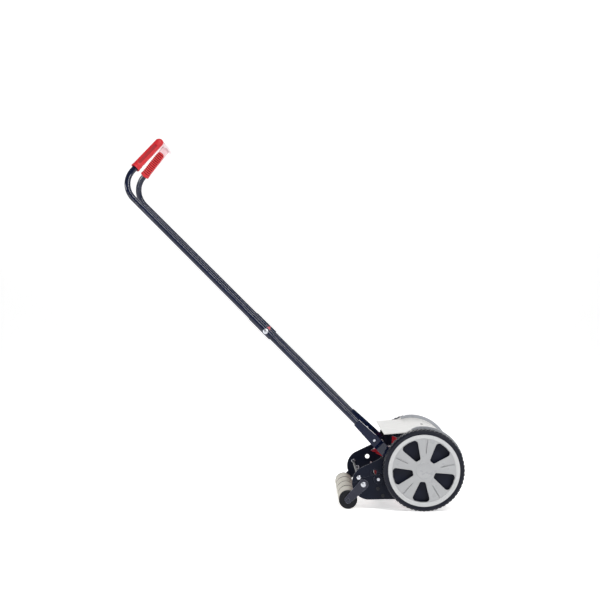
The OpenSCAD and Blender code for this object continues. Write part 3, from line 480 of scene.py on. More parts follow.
# ---------------------------------------------------------------- surfaces
class Surface:
    """Grids of points turned into meshes."""

    # points closer than this, in metres, are one point
    TOUCH = 1e-7
    # a chamfered nut's corners lie on a circle this many times the flats' distance
    CORNER = 1.11

    @staticmethod
    def faces(rows: int, cols: int, wrap_rows: bool, wrap_cols: bool, start: int = 0) -> np.ndarray:
        """The quads of a grid whose points are stored row by row.

        Args:
            rows: number of rows.
            cols: number of points in a row.
            wrap_rows: the last row joins the first.
            wrap_cols: a row's last point joins its first.
            start: the index of the grid's first point.

        Returns:
            An array of corner indices, four to a quad.
        """
        r = np.arange(rows if wrap_rows else rows - 1)
        c = np.arange(cols if wrap_cols else cols - 1)
        r, c = (a.ravel() for a in np.meshgrid(r, c, indexing="ij"))
        r1, c1 = (r + 1) % rows, (c + 1) % cols
        return start + np.stack([r * cols + c, r1 * cols + c, r1 * cols + c1, r * cols + c1], 1)

    @staticmethod
    def mesh(name: str, points: np.ndarray, quads: np.ndarray, caps: list[np.ndarray] | None = None,
             sharp: float = 40.0) -> bpy.types.Object:
        """Makes an object from whole arrays, with faces outwards and smooth shading up to an angle.

        Args:
            name: the object's name.
            points: the points, in metres.
            quads: corner indices, four to a quad.
            caps: closing polygons, each an array of corner indices.
            sharp: the angle in degrees above which an edge stays sharp.

        Returns:
            The object.
        """
        caps = caps or []
        loops = np.concatenate([quads.ravel()] + [np.asarray(c) for c in caps]).astype(np.int32)
        sizes = np.array([4] * len(quads) + [len(c) for c in caps])
        mesh = bpy.data.meshes.new(name)
        mesh.vertices.add(len(points))
        mesh.vertices.foreach_set("co", np.ascontiguousarray(points, np.float32).ravel())
        mesh.loops.add(len(loops))
        mesh.loops.foreach_set("vertex_index", loops)
        mesh.polygons.add(len(sizes))
        mesh.polygons.foreach_set("loop_start", np.concatenate([[0], np.cumsum(sizes)[:-1]]).astype(np.int32))
        mesh.update(calc_edges=True)
        mesh.validate()
        Surface.outwards(mesh)
        mesh.polygons.foreach_set("use_smooth", np.ones(len(mesh.polygons), bool))
        mesh.set_sharp_from_angle(angle=radians(sharp))
        obj = bpy.data.objects.new(name, mesh)
        bpy.context.scene.collection.objects.link(obj)
        return obj

    @staticmethod
    def outwards(mesh: bpy.types.Mesh) -> None:
        """Merges points that coincide, drops loose edges and turns every face of a closed mesh outwards.

        Args:
            mesh: the mesh.
        """
        work = bmesh.new()
        work.from_mesh(mesh)
        bmesh.ops.remove_doubles(work, verts=work.verts, dist=Surface.TOUCH)
        loose = [e for e in work.edges if not e.link_faces]
        bmesh.ops.delete(work, geom=loose, context="EDGES")
        bmesh.ops.recalc_face_normals(work, faces=work.faces)
        work.to_mesh(mesh)
        work.free()

    @staticmethod
    def turned(profile: np.ndarray, centre: Place, steps: int) -> Grid:
        """A closed profile of (radius, y) turned about a line along Y: x = cx + r cos a, z = cz + r sin a.

        Args:
            profile: the profile's points.
            centre: the line's x and z.
            steps: the number of steps round.

        Returns:
            The points and the quads.
        """
        a = np.linspace(0, 2 * np.pi, steps, endpoint=False)[:, None]
        r, y = profile[:, 0][None], profile[:, 1][None]
        pts = np.stack([centre[0] + r * np.cos(a), y + 0 * a, centre[1] + r * np.sin(a)], -1)
        return pts.reshape(-1, 3), Surface.faces(steps, len(profile), True, True)

    @staticmethod
    def hexed(profile: np.ndarray, centre: Place, steps: int = 72) -> Grid:
        """A closed profile of (half across flats, y, hexagonal) turned into a hexagon.

        The radius is the profile's over the cosine of the angle from the nearest flat, and the corners
        are rounded off by a circle, as on a chamfered nut.

        Args:
            profile: the profile's points; 1 in the third column marks the hexagonal ones.
            centre: the x and z of the line along Y.
            steps: the number of steps round.

        Returns:
            The points and the quads.
        """
        a = np.linspace(0, 2 * np.pi, steps, endpoint=False)[:, None]
        off = (a % (np.pi / 3)) - np.pi / 6
        shape = np.where(profile[:, 2][None] > 0, np.minimum(1 / np.cos(off), Surface.CORNER), 1.0)
        r, y = profile[:, 0][None] * shape, profile[:, 1][None] + 0 * a
        pts = np.stack([centre[0] + r * np.cos(a), y, centre[1] + r * np.sin(a)], -1)
        return pts.reshape(-1, 3), Surface.faces(steps, len(profile), True, True)

    @staticmethod
    def rings(centres: np.ndarray, along: np.ndarray, radii: np.ndarray, side: np.ndarray,
              sides: int = 48) -> tuple[np.ndarray, np.ndarray, list[np.ndarray]]:
        """Circles carried along a path that lies in one plane: c + r (cos a b + sin a (t x b)).

        Args:
            centres: the circles' middles.
            along: the path's direction at each circle.
            radii: each circle's radius.
            side: the unit normal b of the path's plane.
            sides: points round a circle.

        Returns:
            The points, the quads and the two closing polygons.
        """
        other = np.cross(along, side)
        a = np.linspace(0, 2 * np.pi, sides, endpoint=False)[None, :, None]
        pts = centres[:, None] + radii[:, None, None] * (np.cos(a) * side + np.sin(a) * other[:, None])
        last = (len(centres) - 1) * sides
        caps = [np.arange(sides), last + np.arange(sides)[::-1]]
        return pts.reshape(-1, 3), Surface.faces(len(centres), sides, False, True), caps

    @staticmethod
    def joined(name: str, parts: list[Grid], sharp: float = 40.0) -> bpy.types.Object:
        """Makes one object from several closed grids.

        Args:
            name: the object's name.
            parts: the grids' points and quads.
            sharp: the angle in degrees above which an edge stays sharp.

        Returns:
            The object.
        """
        starts = np.cumsum([0] + [len(p) for p, _ in parts[:-1]])
        points = np.concatenate([p for p, _ in parts])
        quads = np.concatenate([q + n for (_, q), n in zip(parts, starts)])
        return Surface.mesh(name, points, quads, sharp=sharp)

    @staticmethod
    def paint(obj: bpy.types.Object, *finishes: Finish, kinds: np.ndarray | None = None) -> bpy.types.Object:
        """Gives a piece its finishes, and each face the number of its own.

        Args:
            obj: the piece.
            finishes: its finishes, in the order of their numbers.
            kinds: each face's finish; the first for all if left out.

        Returns:
            The piece.
        """
        for finish in finishes:
            obj.data.materials.append(finish.build())
        if kinds is not None:
            obj.data.polygons.foreach_set("material_index", kinds.astype(np.int32))
        return obj


def blend(t: np.ndarray) -> np.ndarray:
    """A smooth rise from 0 to 1 as t goes from 0 to 1, flat at both ends."""
    t = np.clip(t, 0, 1)
    return t * t * (3 - 2 * t)


# ---------------------------------------------------------------- wheels
@dataclass
class Wheel:
    """One ground wheel: the treaded tyre and the five-window cap over the plain body.

    Sizes are in metres, and y grows outwards from the mower's middle plane. The lug_, edge_ and seam_
    sizes are shares of a lug's pitch or of the tread's width.
    """

    side: Side
    centre: Place
    inner: float
    outer: float
    radius: float = 0.123
    bead: float = 0.108
    lugs: int = 60
    lug_rise: float = 0.0014
    lug_steps: int = 16
    lug_half: float = 0.34
    lug_slope: float = 0.05
    edge_slope: float = 0.03
    seam_depth: float = 0.75
    seam_width: float = 0.02
    corner: float = 0.005
    tread_margin: float = 0.004
    wall_step: float = 0.002
    wall_dish: float = 0.0006
    cap_radius: float = 0.1095
    ring: float = 0.0135
    cap_wall: float = 0.003
    hub: float = 0.025
    window_angle: float = radians(-96.3)
    window_foot: float = 0.034
    window_mid: float = 0.066
    foot_width: float = 0.019
    window_width: float = 0.050
    foot_corner: float = 0.0058
    top_corner: float = 0.0095
    window_gap: float = 0.002
    fillet: float = 0.0012
    hub_lap: float = 0.003
    ring_lap: float = 0.0015
    ring_steps: int = 60
    side_steps: int = 48
    hub_steps: int = 24
    groove_span: tuple[float, float] = (0.050, 0.093)
    groove_half: tuple[float, float] = (0.0009, 0.0026)
    groove_ends: tuple[float, float] = (0.049, 0.0935)
    groove_fade: tuple[float, float] = (0.006, 0.0015)
    groove_depth: float = 0.0024
    groove_spread: float = 0.6
    groove_swell: float = 0.0004
    disc_sink: float = 0.0025
    disc_over: float = 0.0004

    @property
    def spoke_face(self) -> float:
        """Height of the spoke disc's front, a little below the ring."""
        return self.outer - self.disc_sink

    @property
    def ring_in(self) -> float:
        """The ring's inner radius."""
        return self.cap_radius - self.ring

    def tyre(self) -> bpy.types.Object:
        """The tyre: a rounded band whose radius rises over two staggered rows of lugs.

        The radius at (angle, y) is the smooth band's plus the rise times a plateau function of the
        angle within the lug's pitch and of the place across the tread; the second row is half a pitch on.

        Returns:
            The tyre.
        """
        steps = self.lugs * self.lug_steps
        base = self.radius - self.lug_rise
        width = self.outer - self.inner
        corner = self.corner
        s = np.linspace(0, np.pi / 2, 7)
        left = np.stack([base - corner + corner * np.sin(s), self.inner + corner - corner * np.cos(s)], 1)
        mid_y = np.linspace(self.inner + corner, self.outer - corner, 23)[1:-1]
        mid = np.stack([np.full(len(mid_y), base), mid_y], 1)
        right = np.stack([base - corner + corner * np.cos(s), self.outer - corner + corner * np.sin(s)], 1)
        wall = np.array([[self.bead, self.outer], [self.bead, self.inner]])
        sunk = self.outer - self.wall_dish
        wall_out = np.array([[base - corner - self.wall_step, self.outer],
                             [base - corner - 2 * self.wall_step, sunk], [self.bead + self.wall_step, sunk]])
        prof = np.concatenate([left, mid, right, wall_out, wall])
        a = np.linspace(0, 2 * np.pi, steps, endpoint=False)[:, None]
        r, y = prof[:, 0][None], prof[:, 1][None]
        across = (y - self.inner - self.tread_margin) / (width - 2 * self.tread_margin)
        row = np.where(across < 0.5, 0.0, 0.5)
        phase = (a * self.lugs / (2 * np.pi) + row) % 1.0
        block = blend((self.lug_half - np.abs(phase - 0.5)) / self.lug_slope)
        seam = 1 - self.seam_depth * np.exp(-((across - 0.5) / self.seam_width) ** 2)
        band = blend(across / self.edge_slope) * blend((1 - across) / self.edge_slope) * seam
        tread = r > base - corner / 2
        r = r + self.lug_rise * block * band * tread
        pts = np.stack([r * np.cos(a) + self.centre[0], y + 0 * a, r * np.sin(a) + self.centre[1]], -1)
        obj = Surface.mesh(f"tyre_tread_{self.side.word}", self.side.mirror(pts.reshape(-1, 3)),
                           Surface.faces(steps, len(prof), True, True), sharp=35)
        return Surface.paint(obj, TYRE_RUBBER)

    def window(self, angles: np.ndarray) -> np.ndarray:
        """The outline of a window whose middle line is +X, as seen from its own middle.

        The outline is the convex hull of two small circles near the hub and three large ones near the
        ring: in each direction it is the circle that reaches furthest.

        Args:
            angles: directions from the window's middle.

        Returns:
            The outline's point in each direction.
        """
        small, big, r1 = self.foot_corner, self.top_corner, self.ring_in - self.window_gap
        lean = np.arcsin((self.window_width / 2 - big) / (r1 - big))
        leans = np.array([-lean, 0, lean])
        foot_z = self.foot_width / 2 - small
        cx = np.concatenate([[self.window_foot + small] * 2, (r1 - big) * np.cos(leans)])
        cz = np.concatenate([[-foot_z, foot_z], (r1 - big) * np.sin(leans)])
        cr = np.array([small, small, big, big, big])
        u = np.linspace(-np.pi, np.pi, 1441)
        d = np.stack([np.cos(u), np.sin(u)], 1)
        k = np.argmax(cx * d[:, :1] + cz * d[:, 1:] + cr, axis=1)
        hull = np.stack([cx[k], cz[k]], 1) + cr[k, None] * d - [self.window_mid, 0]
        # points are added along the straight sides, so that the direction can be looked up
        step = np.linalg.norm(np.diff(hull, axis=0), axis=1)
        length = np.concatenate([[0], np.cumsum(step)])
        even = np.linspace(0, length[-1], 4001)
        hull = np.stack([np.interp(even, length, hull[:, i]) for i in (0, 1)], 1)
        at = np.unwrap(np.arctan2(hull[:, 1], hull[:, 0]))
        want = np.mod(angles - at[0], 2 * np.pi) + at[0]
        return np.stack([np.interp(want, at, hull[:, i]) for i in (0, 1)], 1) + [self.window_mid, 0]

    def sector(self) -> tuple[np.ndarray, np.ndarray]:
        """The border of a window's fifth of the disc: inner arc, side, outer arc, side, all in one loop.

        Returns:
            The border's points and the window's points in the same directions.
        """
        half, r0, r1 = np.pi / 5, self.hub - self.hub_lap, self.ring_in + self.ring_lap
        t_in, t_out = (np.linspace(-half, half, n + 1) for n in (self.hub_steps, self.ring_steps))
        side = np.linspace(r0, r1, self.side_steps + 1)
        arc_out = r1 * np.stack([np.cos(t_out), np.sin(t_out)], 1)
        arc_in = r0 * np.stack([np.cos(t_in[::-1]), np.sin(t_in[::-1])], 1)
        up = side[::-1, None] * np.array([[np.cos(half), np.sin(half)]])
        down = side[:, None] * np.array([[np.cos(half), -np.sin(half)]])
        border = np.concatenate([arc_out[:-1], up[:-1], arc_in[:-1], down[:-1]])
        window = self.window(np.arctan2(border[:, 1], border[:, 0] - self.window_mid))
        return border, window

    def face_height(self, p: np.ndarray) -> np.ndarray:
        """Height of the spoke disc's front over its flat, with a groove midway between each two windows.

        The groove is a V that grows wider outwards, fades in near the hub and stops short of the ring,
        and a low swelling runs along both of its sides.

        Args:
            p: points (x, z) round the axle.

        Returns:
            The height at each point.
        """
        r = np.linalg.norm(p, axis=-1)
        a = np.arctan2(p[..., 1], p[..., 0]) - self.window_angle - np.pi / 5
        off = np.abs((a + np.pi / 5) % (2 * np.pi / 5) - np.pi / 5)
        across = r * np.sin(off)
        half = np.interp(r, self.groove_span, self.groove_half)
        (start, stop), (fade_in, fade_out) = self.groove_ends, self.groove_fade
        length = blend((r - start) / fade_in) * blend((stop - r) / fade_out)
        sink = np.clip(1 - across / half, 0, 1) * length
        swell = np.exp(-((across - half) / (self.groove_spread * half)) ** 2) * length
        return self.groove_swell * swell - self.groove_depth * sink

    def disc(self, back: float) -> list[Grid]:
        """The spoke disc's five fifths, each a grid between a window's outline and the fifth's border.

        A point is the outline's plus a share of the way to the border; rows close to the window follow a
        quarter circle, which rounds the window's edge, and then run down its wall to the back.

        Args:
            back: height of the disc's back.

        Returns:
            The fifths.
        """
        border, window = self.sector()
        way = border - window
        unit = way / np.linalg.norm(way, axis=1, keepdims=True)
        quarter = np.linspace(0, np.pi / 2, 6)
        near = self.fillet * (1 - np.cos(quarter))
        fall = self.fillet * (1 - np.sin(quarter))
        # rows lie close together along the border too, because the grooves run along its sides
        far = np.array([0.0035, 0.0029, 0.0024, 0.0020, 0.0016, 0.0012, 0.0008, 0.0004, 0.0])
        lo, hi = window + unit * near[-1], border - unit * far[0]
        rows = [window + unit * d for d in near]
        rows += [lo + (hi - lo) * share for share in np.linspace(0, 1, 9)[1:-1]]
        rows += [border - unit * d for d in far]
        grid = np.stack(rows)
        drop = np.concatenate([fall, np.zeros(len(rows) - len(fall))])[:, None]
        # the arcs of the border are closed from front to back; the sides meet the next fifth
        hub_at = self.ring_steps + self.side_steps
        arcs = np.concatenate([np.arange(self.ring_steps), np.arange(hub_at, hub_at + self.hub_steps)])
        top, cols = (len(rows) + 2) * len(border), len(border)
        closing = np.stack([top + arcs, arcs, (arcs + 1) % cols, top + (arcs + 1) % cols], 1)
        fifths = []
        for a in self.window_angle + np.arange(5) * 2 * np.pi / 5:
            flat = grid @ np.array([[np.cos(a), np.sin(a)], [-np.sin(a), np.cos(a)]])
            y = self.spoke_face + self.face_height(flat) - drop
            front = np.stack([flat[..., 0], y, flat[..., 1]], -1)
            behind = np.stack([flat[..., 0], np.full(flat.shape[:2], back), flat[..., 1]], -1)
            shell = np.concatenate([behind[[-1, len(rows) // 2, 0]], front])
            quads = np.concatenate([Surface.faces(shell.shape[0], shell.shape[1], False, True), closing])
            fifths.append((shell.reshape(-1, 3), quads))
        return fifths

    def cap(self) -> bpy.types.Object:
        """The cap: a spoke disc cut by five windows, inside a raised ring, with a low boss in the middle.

        Returns:
            The cap.
        """
        back = self.spoke_face - self.cap_wall
        parts = self.disc(back)
        parts += [Surface.turned(profile, (0.0, 0.0), 240) for profile in (self.rim(back), self.boss(back))]
        placed = [(self.side.mirror(p + [self.centre[0], 0, self.centre[1]]), q) for p, q in parts]
        obj = Surface.joined(f"cap_{self.side.word}", placed, sharp=50)
        middle = np.empty(3 * len(obj.data.polygons), np.float32)
        obj.data.polygons.foreach_get("center", middle)
        out = np.linalg.norm(middle.reshape(-1, 3)[:, [0, 2]] - np.array(self.centre), axis=1)
        return Surface.paint(obj, CAP_PLASTIC, CAP_DISC, kinds=out < self.ring_in + self.disc_over)

    def rim(self, back: float) -> np.ndarray:
        """The raised ring's closed profile, from its inner foot over its rounded crown to its back.

        Args:
            back: height of the cap's back.

        Returns:
            The profile's points.
        """
        r0, r1, low, top = self.ring_in, self.cap_radius, self.spoke_face, self.outer
        return np.array([
            [r0 - 0.0007, back], [r0 - 0.0007, low - 0.0006], [r0 + 0.0002, low + 0.0003],
            [r0 + 0.0008, top - 0.0016], [r0 + 0.0016, top - 0.0010], [r0 + 0.0040, top - 0.0004],
            [r0 + 0.0080, top + 0.0002], [r1 - 0.0030, top + 0.0003], [r1 - 0.0012, top - 0.0001],
            [r1 - 0.0004, top - 0.0009], [r1 - 0.0008, top - 0.0020], [r1 - 0.0022, top - 0.0040],
            [r0 + 0.002, top - 0.0040], [r0 + 0.001, back]])

    def boss(self, back: float) -> np.ndarray:
        """The low round boss over the hub, as a closed profile that starts and ends on the axle's line.

        Args:
            back: height of the cap's back.

        Returns:
            The profile's points.
        """
        f, r = self.spoke_face, self.hub
        return np.array([[0.0, back], [0.0, f + 0.0008], [r - 0.002, f + 0.0008], [r - 0.0008, f + 0.0006],
                         [r, f - 0.0002], [r, back]])


# ---------------------------------------------------------------- reel
@dataclass
class Reel:
    """The five helical blades, each a painted strip whose relieved outer edge is ground bright.

    Sizes are in metres; the reel's axis lies at an angle and a distance from the wheels' axle.
    """

    axle: Place
    angle: float = radians(194)
    distance: float = 0.0675
    radius: float = 0.075
    depth: float = 0.018
    thick: float = 0.003
    length: float = 0.372
    twist: float = radians(72)
    phase: float = radians(52)
    rows: int = 161
    corner: float = 0.0005
    middle: float = 0.0110
    grind: float = 0.0022
    relief: tuple[float, float] = (0.0011, 0.0014)
    ground_edges: tuple[int, ...] = (2, 3, 4)

    def section(self) -> np.ndarray:
        """A blade's outline as (outwards, across), starting at the inner edge and ending round it.

        Returns:
            The outline's points; those that start the ground edges have the numbers in ground_edges.
        """
        t, r, r0, c = self.thick / 2, self.radius, self.radius - self.depth, self.corner
        lip = (r * r - t * t) ** 0.5
        low, high = self.relief
        return np.array([
            [r0 + c, -t], [r - self.middle, -t], [r - self.grind, -t], [lip, -t], [r - low, t * 0.9],
            [r - high, t], [r - self.middle, t], [r0 + c, t], [r0, t - c], [r0, c - t]])

    def blade(self, index: int) -> bpy.types.Object:
        """One blade: its section at y is turned by phase + twist * y / length about the reel's axis.

        Args:
            index: the blade's number, from 1.

        Returns:
            The blade.
        """
        sec = self.section()
        y = np.linspace(-self.length / 2, self.length / 2, self.rows)[:, None]
        a = 2 * np.pi / 5 * (index - 1) + self.phase + self.twist * y / self.length
        out, across = sec[:, 0][None], sec[:, 1][None]
        cx = self.axle[0] + self.distance * np.cos(self.angle)
        cz = self.axle[1] + self.distance * np.sin(self.angle)
        pts = np.stack([cx + out * np.cos(a) - across * np.sin(a), y + 0 * out,
                        cz + out * np.sin(a) + across * np.cos(a)], -1)
        n = len(sec)
        caps = [np.arange(n), (self.rows - 1) * n + np.arange(n)[::-1]]
        quads = Surface.faces(self.rows, n, False, True)
        obj = Surface.mesh(f"blade_{index}", pts.reshape(-1, 3), quads, caps, sharp=25)
        ground = np.isin(quads[:, 0] % n, self.ground_edges)
        return Surface.paint(obj, REEL_PAINT, EDGE_STEEL, kinds=np.pad(ground, (0, len(caps))))


# ---------------------------------------------------------------- rear roller
@dataclass
class Roller:
    """The four moulded roller segments, with a black hub ring in each end. Sizes are in metres."""

    low: Vector
    high: Vector
    hub: float = 0.00405
    rim: float = 0.0018
    line_pitch: float = 0.0145
    line_depth: float = 0.00045
    line_half: float = 0.0008
    hub_sink: float = 0.0012
    hub_edge: tuple[float, float] = (0.0034, 0.0029)
    dark_edges: int = 6
    steps: int = 96

    def segment(self, index: int) -> bpy.types.Object:
        """A segment: the radius falls in shallow lines round it and in a quarter circle at each end.

        Args:
            index: the segment's number, from 1.

        Returns:
            The segment.
        """
        r = (self.high.z - self.low.z) / 2
        centre = ((self.low.x + self.high.x) / 2, (self.low.z + self.high.z) / 2)
        y0, y1, rim, sink = self.low.y, self.high.y, self.rim, self.hub_sink
        floor, lip = (r - edge for edge in self.hub_edge)
        q = np.linspace(0, np.pi / 2, 7)
        y = np.linspace(y0 + rim, y1 - rim, 121)
        mid = (y0 + y1) / 2
        wave = np.abs(((y - mid) / self.line_pitch + 0.5) % 1.0 - 0.5) * self.line_pitch
        shell = r - self.line_depth * np.exp(-(wave / self.line_half) ** 2)
        first = np.stack([r - rim + rim * np.sin(q), y0 + rim - rim * np.cos(q)], 1)
        last = np.stack([r - rim + rim * np.cos(q), y1 - rim + rim * np.sin(q)], 1)
        near = np.array([[self.hub, y0 + sink], [floor, y0 + sink], [lip, y0]])
        far = np.array([[lip, y1], [floor, y1 - sink], [self.hub, y1 - sink]])
        profile = np.concatenate([near, first, np.stack([shell, y], 1)[1:-1], last, far])
        pts, quads = Surface.turned(profile, centre, self.steps)
        obj = Surface.mesh(f"segment_{index}", pts, quads, sharp=45)
        # the hub ring and the first half of each rounded end are black
        column = quads[:, 0] % len(profile)
        dark = (column < self.dark_edges) | (column >= len(profile) - self.dark_edges - 1)
        return Surface.paint(obj, ROLLER_CREAM, ROLLER_BLACK, kinds=dark)


# ---------------------------------------------------------------- handle
@dataclass
class HandleLine:
    """The line that the left half of the handle follows; the right half is its mirror image.

    Lengths are in metres. Places are measured from the wheels' axle.
    """

    axle: Place
    pivot: Place = (-0.100, 0.0394)
    angle: float = radians(45)
    lower_len: float = 0.534
    upper_len: float = 0.640
    foot_at: float = 0.050
    foot_y: float = 0.2032
    corner_y: float = 0.1405
    lower_r: float = 0.0085
    upper_r: float = 0.0095
    sleeve_r: float = 0.01125
    sleeve_below: float = 0.026
    sleeve_above: float = 0.060
    neck: float = 0.006
    bend_radius: float = 0.068
    grip_start: float = 0.072
    grip_len: float = 0.127
    grip_aim: tuple[float, float, float] = (0.632, -0.279, 0.723)

    def at(self, distance: float, y: float) -> np.ndarray:
        """The place at a distance along the handle as it is seen from the side.

        Args:
            distance: the distance from the pivot.
            y: the place's y.

        Returns:
            The place.
        """
        d = np.array([-np.cos(self.angle), np.sin(self.angle)])
        x, z = np.array(self.pivot) + distance * d
        return np.array([self.axle[0] + x, y, self.axle[1] + z])

    @property
    def foot(self) -> np.ndarray:
        """Where the lower tube starts inside its bracket."""
        return self.at(self.foot_at, self.foot_y)

    @property
    def corner(self) -> np.ndarray:
        """Where the tube's line and the grip's line cross."""
        return self.at(self.lower_len + self.upper_len, self.corner_y)

    @property
    def tube_dir(self) -> np.ndarray:
        """Direction of the straight tubes."""
        d = self.corner - self.foot
        return d / np.linalg.norm(d)

    @property
    def joint(self) -> np.ndarray:
        """The middle joint."""
        share = (self.lower_len - self.foot_at) / (self.lower_len + self.upper_len - self.foot_at)
        return self.foot + share * (self.corner - self.foot)

    @property
    def grip_dir(self) -> np.ndarray:
        """Direction of the grip, up, forward and in towards the other grip."""
        return np.array(self.grip_aim) / np.linalg.norm(self.grip_aim)

    @property
    def grip_foot(self) -> np.ndarray:
        """The grip's mouth."""
        return self.corner + self.grip_start * self.grip_dir

    @property
    def grip_tip(self) -> np.ndarray:
        """The grip's round end."""
        return self.grip_foot + self.grip_len * self.grip_dir


@dataclass
class Handle:
    """One side of the handle: lower tube, upper tube with its sleeve and bend, and the moulded grip.

    Lengths are in metres and angles in radians. The grip's sizes start at radius.
    """

    side: Side
    line: HandleLine
    low_ends: tuple[float, float] = (0.008, 0.0315)
    low_run: tuple[float, float] = (0.02, 0.030)
    chamfer: tuple[float, float] = (0.0005, 0.0006)
    stub_short: float = 0.014
    radius: float = 0.0145
    shorter: float = 0.00008
    bore: float = 0.0097
    flare: float = 0.0008
    rings: int = 300
    sides: int = 96
    ribs: int = 12
    rib_start: float = 0.012
    rib_margin: float = 0.008
    zone_margin: float = 0.004
    rib_facing: tuple[float, float] = (0.35, 0.15)
    valley: float = 0.0024
    valley_shade_over: float = 0.38
    highlight_crest_under: float = 0.45
    trough: float = 0.0014
    shade_over: float = 0.0006
    trough_half: float = 0.0050
    trough_ends: tuple[float, float] = (0.014, 0.026)
    trough_fade: float = 0.006
    pad_end: float = 0.101
    pad_round: float = 0.018
    pad_half: float = 1.15
    pale_half: float = 1.75
    edge_half: tuple[float, float] = (0.26, 0.22)
    edge_ends: tuple[float, float] = (0.016, 0.004)

    def lower_tube(self) -> bpy.types.Object:
        """The lower tube: a straight run of circles from inside the bracket to inside the sleeve.

        Returns:
            The tube.
        """
        h = self.line
        length = np.linalg.norm(h.joint - h.foot)
        start, end = self.low_ends
        first, last = self.low_run
        s = np.concatenate([[start, start + self.chamfer[0]], np.linspace(first, length + last, 90),
                            [length + end]])
        r = np.full(len(s), h.lower_r)
        r[0] = r[-1] = h.lower_r - self.chamfer[1]
        side = np.cross(h.tube_dir, [0, 1, 0])
        side /= np.linalg.norm(side)
        along = np.tile(h.tube_dir, (len(s), 1))
        pts, quads, caps = Surface.rings(h.foot + s[:, None] * h.tube_dir, along, r, side)
        obj = Surface.mesh(f"lower_run_{self.side.word}", self.side.mirror(pts), quads, caps)
        return Surface.paint(obj, TUBE_PAINT)

    def upper_tube(self) -> bpy.types.Object:
        """The upper tube: a widened sleeve over the joint, a straight run, a bend and a stub in the grip.

        The middle line is a straight run, then the arc centre + R (cos a x + sin a y), then a straight
        run again; the radius falls smoothly from the sleeve's to the tube's along the neck.

        Returns:
            The tube.
        """
        h = self.line
        t0, t1 = h.tube_dir, h.grip_dir
        half = np.arccos(np.dot(-t0, t1)) / 2
        tan = h.bend_radius / np.tan(half)
        side = np.cross(t0, t1)
        side /= np.linalg.norm(side)
        run = np.linalg.norm(h.corner - h.joint) - tan
        sleeve = h.sleeve_below + h.sleeve_above
        # the sleeve's mouth as (along, radius): a short hollow round the lower tube and a chamfered lip
        mouth = np.array([[0.004, h.lower_r + 0.0002], [0.0, h.lower_r + 0.0003],
                          [0.0, h.sleeve_r - 0.0004], [0.0005, h.sleeve_r]])
        s = np.concatenate([mouth[:, 0], np.linspace(0.003, sleeve, 30),
                            sleeve + np.linspace(0.1 * h.neck, h.neck, 10),
                            np.linspace(sleeve + 0.010, h.sleeve_below + run, 110)])
        straight = h.joint - h.sleeve_below * t0 + s[:, None] * t0
        r = h.sleeve_r + (h.upper_r - h.sleeve_r) * blend((s - h.sleeve_below - h.sleeve_above) / h.neck)
        r[:len(mouth)] = mouth[:, 1]
        first = h.corner - tan * t0
        centre = first + h.bend_radius * np.cross(side, t0)
        a = np.linspace(0, np.pi - 2 * half, 49)[1:, None]
        x, y = (first - centre) / h.bend_radius, t0
        arc = centre + h.bend_radius * (np.cos(a) * x + np.sin(a) * y)
        rest = np.linspace(0.002, h.grip_start + h.grip_len - self.stub_short - tan, 24)
        stub = h.corner + (tan + rest)[:, None] * t1
        centres = np.concatenate([straight, arc, stub])
        along = np.concatenate([np.tile(t0, (len(s), 1)), np.cos(a) * y - np.sin(a) * x,
                                np.tile(t1, (len(rest), 1))])
        radii = np.concatenate([r, np.full(len(a) + len(rest), h.upper_r)])
        pts, quads, caps = Surface.rings(centres, along, radii, side)
        obj = Surface.mesh(f"upper_run_{self.side.word}", self.side.mirror(pts), quads, caps)
        return Surface.paint(obj, TUBE_PAINT)

    def axes(self) -> tuple[np.ndarray, np.ndarray, np.ndarray]:
        """The grip's own axes.

        Returns:
            The directions along it, across it and outwards.
        """
        d = self.line.grip_dir
        u = np.cross([0, 1, 0], d)
        u /= np.linalg.norm(u)
        return d, u, np.cross(d, u)

    def sleeve(self, length: float) -> tuple[np.ndarray, np.ndarray]:
        """The grip without its ribs: a flared mouth, a straight sleeve and a round tip.

        Args:
            length: the grip's length.

        Returns:
            The rings' places along the grip, and their radii.
        """
        r0 = self.radius
        # the mouth as (along, radius): a hollow round the tube and a flared lip
        mouth = np.array([[0.010, self.bore], [0.004, self.bore + 0.0024], [0.0006, self.bore + 0.0030],
                          [0.0, r0 + 0.0002], [0.0003, r0 + self.flare], [0.0012, r0 + self.flare]])
        tip = np.linspace(0, np.pi / 2, 19)
        s = np.concatenate([mouth[:, 0], np.linspace(0.003, length - r0, self.rings),
                            length - r0 + r0 * np.sin(tip)[1:-1]])
        radii = np.concatenate([mouth[:, 1], np.full(self.rings, r0), r0 * np.cos(tip)[1:-1]])
        radii[len(mouth):] += self.flare * (1 - blend((s[len(mouth):] - 0.0035) / 0.0025))
        return s, radii

    def grip(self) -> bpy.types.Object:
        """One grip: a sleeve with a flared mouth, a round tip, a long groove outside and ribs inside.

        The radius at (length s, angle a) is the sleeve's, minus a row of valleys of s where a points
        inwards, which leaves the ribs, minus a shallow trough where a points outwards. It is closed at
        the tip and turns in at the mouth to leave a dark hollow round the tube.

        Returns:
            The grip.
        """
        d, u, v = self.axes()
        length = self.line.grip_len - self.shorter
        s, sleeve = self.sleeve(length)
        a = np.linspace(0, 2 * np.pi, self.sides, endpoint=False)[None]
        outside = np.clip((s - 0.004) / 0.002, 0, 1)[:, None]
        along = s[:, None]
        # ribs: flat ridges with narrow valleys between them, on the inner half
        first, last = self.rib_start, self.pad_end - self.rib_margin
        wave = 0.5 + 0.5 * np.cos(2 * np.pi * (along - first) / ((last - first) / self.ribs))
        zone = ((along > first - self.zone_margin) & (along < last + self.zone_margin)).astype(float)
        turn, soft = self.rib_facing
        facing = blend((-np.sin(a) + turn) / soft)
        valley = wave ** 3 * zone * facing
